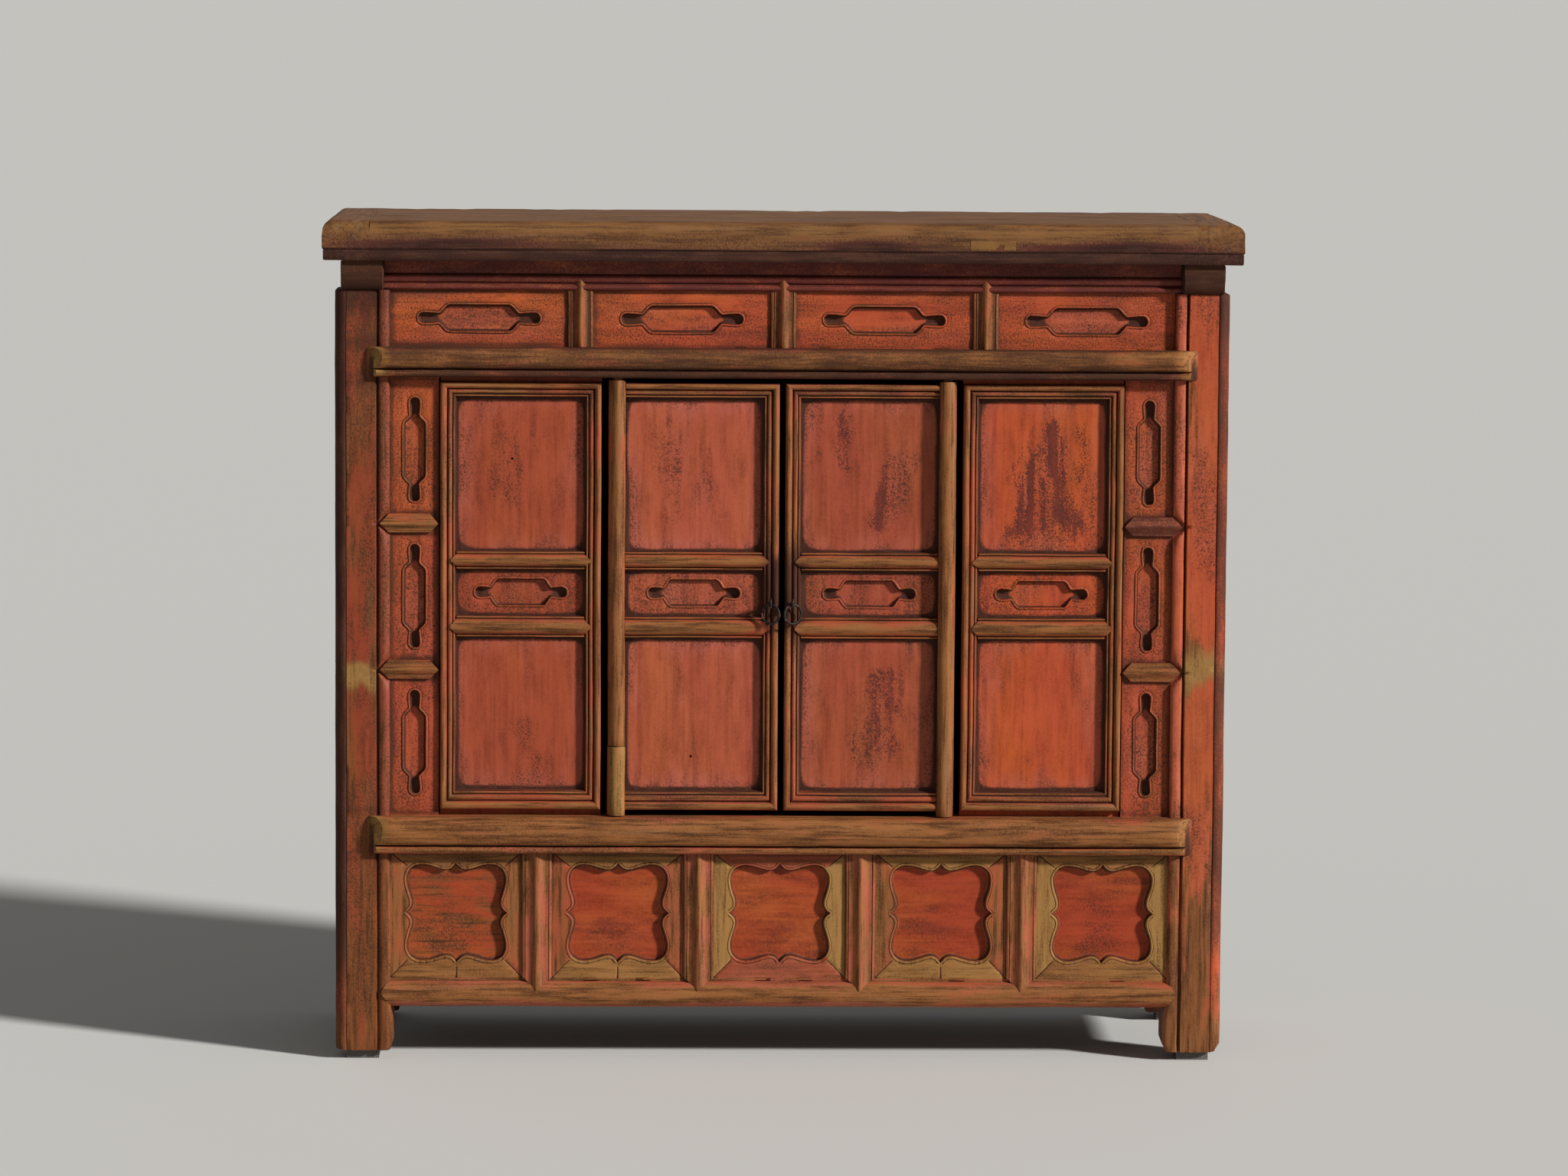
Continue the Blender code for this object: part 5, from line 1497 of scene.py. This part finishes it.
def apronPanel(order):
    look = apronLook
    node = f"apron_panel_{order}"
    age = apronAges[order - 1]
    low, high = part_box(node)
    face, middle = low.y, (low.x + high.x) / 2
    clearLow, clearHigh = (low.x + tongue, bottomTop), (high.x - tongue, lowerLow)
    openLow, openHigh = bottomTop + look["foot"], lowerLow - look["top"]
    halfWidth = (clearHigh[0] - clearLow[0]) / 2 - look["side"]

    def isUpright(across, up):
        gapAcross = min(across - clearLow[0], clearHigh[0] - across) / look["side"]
        return gapAcross < min((up - clearLow[1]) / look["foot"], (clearHigh[1] - up) / look["top"])

    def ageAndShadeApron(spot, marks):
        if spot.y > face + look["sunk"] * 2.4:
            return
        sunk = smooth(face + look["sunk"], face + look["sunk"] * 1.8, spot.y)
        worn, tone, bloom = age["upright" if isUpright(spot.x, spot.z) else "level"]
        boardWorn, stain, cracks, boardBloom = age["sunk"]
        cloud = near(spot.x, middle - 0.005, 0.055) * near(spot.z, bottomTop + 0.062, 0.05)
        marks.worn += worn * (1 - sunk) + boardWorn * sunk
        marks.tone += tone * (1 - sunk)
        marks.bloom += bloom * (1 - sunk) + boardBloom * sunk
        # grime at the edges of the clear, and the sunk board darker overall
        marks.grime += 0.5 * edgeCloseness(spot, clearLow, clearHigh, look["edge"]) + 0.2 * sunk
        # painted shadow of the lower rail, darkening the panel's top
        marks.grime += 0.3 * smooth(lowerLow - 0.03, lowerLow, spot.z)
        marks.stain += stain * sunk * (cloud + 0.5 * noise.noise(spot / 0.03))
        marks.cracks += cracks * sunk * cloud

    outline = scallop(halfWidth, (openHigh - openLow) / 2, look)
    cuts = [(moved(outline, middle, (openLow + openHigh) / 2), scallopCut)]
    slots = (lambda centre: 0 if isUpright(centre.x, centre.y) else 2, 1)
    creases = apronCreases(clearLow, clearHigh, openLow, openHigh, order in look["split"])
    finishes = [frameZ, apronBoard, frameX]
    carvedPlate(node, finishes, cuts, look["spacing"], (0.5, 0.1), ageAndShadeApron, slots, creases)


for order in range(1, 6):
    apronPanel(order)
print("apron carved")

# Sides, back, floor and foot pads
hullLook = {"seam": 0.0014, "seamDepth": 0.0016, "sideSeams": (0.47,), "backSeams": (0.19, 0.4, 0.58, 0.81),
            "railEase": 0.003, "step": 0.02, "floorEase": 0.0012, "padEase": 0.0022, "easeSteps": 3}


def plankSection(low, high, fore, aft, seams):  # a board with V-cut seams on both faces
    gap = hullLook["seam"] / 2
    stops = [low] + [low + (high - low) * share for share in seams] + [high]
    points = []
    for depth, sink, way in ((fore, hullLook["seamDepth"], 1), (aft, -hullLook["seamDepth"], -1)):
        row = []
        for start, end in zip(stops, stops[1:]):
            row += flat(start + gap, end - gap, depth, 5, 0.35, 0.2)
            if end != high:
                row.append((end, depth + sink, 0.0, 1.1))
        points += row[::way]
    return points


for word, side in sides:
    low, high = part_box(f"side_panel_{word}")
    section = turned(plankSection(low.y, high.y, low.x, high.x, hullLook["sideSeams"]))
    barPiece(f"side_panel_{word}", sideZ, section, "Z", low.z, high.z, hullLook["step"], ageHull, 0.0)
    low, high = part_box(f"side_bottom_rail_{word}")
    section = blockSection(low.x, high.x, low.z, high.z, hullLook["railEase"], 0.5, 0.3)
    railEnds = frontBack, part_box("post_back_right")[0].y
    barPiece(f"side_bottom_rail_{word}", sideY, section, "Y", *railEnds, hullLook["step"], ageHull, 0.001)
low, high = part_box("back_panel")
section = plankSection(low.x, high.x, low.y, high.y, hullLook["backSeams"])
barPiece("back_panel", plainZ, section, "Z", low.z, high.z, hullLook["step"], chips=0.0)
low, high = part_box("back_bottom_rail")
section = blockSection(low.z, high.z, low.y, high.y, hullLook["railEase"], 0.4, 0.3)
barPiece("back_bottom_rail", plainX, section, "X", -postIn + seat, postIn - seat, 0.03, chips=0.001)
eased = [("floor_board", plainX, hullLook["floorEase"])]
for row in ("front", "back"):
    eased += [(f"foot_pad_{row}_{word}", felt, hullLook["padEase"]) for word, side in sides]
for node, finish, ease in eased:
    piece = frame["nodes"][node]
    piece.data.materials.clear()
    piece.data.materials.append(finish)
    bevel = piece.modifiers.new("eased", "BEVEL")
    bevel.width = ease
    bevel.segments = hullLook["easeSteps"]
print("hull closed")

# Floor, light and camera
stageLook = {
    **tints(floor=(206, 204, 199), horizon=(191, 190, 186)), "sky": (0.80, 0.81, 0.82, 1.0), "fill": 0.20,
    "size": 3000.0, "roughness": 0.8, "shine": 0.2,
    "key": 5.2, "keySoftness": 6.0, "keyWay": (1.6, -1.0, 0.9),
}
scene = bpy.context.scene
floorMesh = bpy.data.meshes.new("studio_floor")
reach = stageLook["size"] / 2
floorCorners = [(-reach, -reach, 0), (reach, -reach, 0), (reach, reach, 0), (-reach, reach, 0)]
floorMesh.from_pydata(floorCorners, [], [(0, 1, 2, 3)])
floorPiece = bpy.data.objects.new("studio_floor", floorMesh)
scene.collection.objects.link(floorPiece)
floorSockets = {"Base Color": stageLook["floor"], "Roughness": stageLook["roughness"]}
floorSockets["Specular IOR Level"] = stageLook["shine"]
floorMesh.materials.append(Finish("studio_floor").wear(floorSockets))

key = bpy.data.lights.new("key", "SUN")
key.energy = stageLook["key"]
key.angle = math.radians(stageLook["keySoftness"])
lamp = bpy.data.objects.new("key", key)
lamp.rotation_euler = Vector(stageLook["keyWay"]).to_track_quat("Z", "Y").to_euler()
scene.collection.objects.link(lamp)
world = bpy.data.worlds.new("studio")
backdrop = Finish("studio", world)
sky = backdrop.node("ShaderNodeBackground", {}, {"Color": stageLook["sky"], "Strength": stageLook["fill"]})
pale = backdrop.node("ShaderNodeBackground", {}, {"Color": stageLook["horizon"]})
rayKinds = ("Camera", "Glossy", "Transmission")
rays = [backdrop.node("ShaderNodeLightPath", {}, {}, f"Is {kind} Ray") for kind in rayKinds]
either = backdrop.node("ShaderNodeMixShader", {}, {0: rays[0] | rays[1] | rays[2], 1: sky, 2: pale})
plug(backdrop.tree, backdrop.tree.nodes["World Output"].inputs["Surface"], either)
scene.world = world
scene.view_settings.view_transform = "Standard"

cameraLook = {"place": (-0.191, -7.798, 1.417), "aim": (0.003, -0.176, 0.626), "lens": 134.7, "roll": 0.4,
              "clipEnd": 4000.0}
lens = bpy.data.cameras.new("camera")
lens.lens = cameraLook["lens"]
lens.clip_end = cameraLook["clipEnd"]
camera = bpy.data.objects.new("camera", lens)
camera.location = cameraLook["place"]
sight = Vector(cameraLook["aim"]) - Vector(cameraLook["place"])
camera.rotation_euler = sight.to_track_quat("-Z", "Y").to_euler()
camera.rotation_euler.rotate_axis("Z", math.radians(cameraLook["roll"]))
scene.collection.objects.link(camera)
scene.camera = camera
print("stage lit")
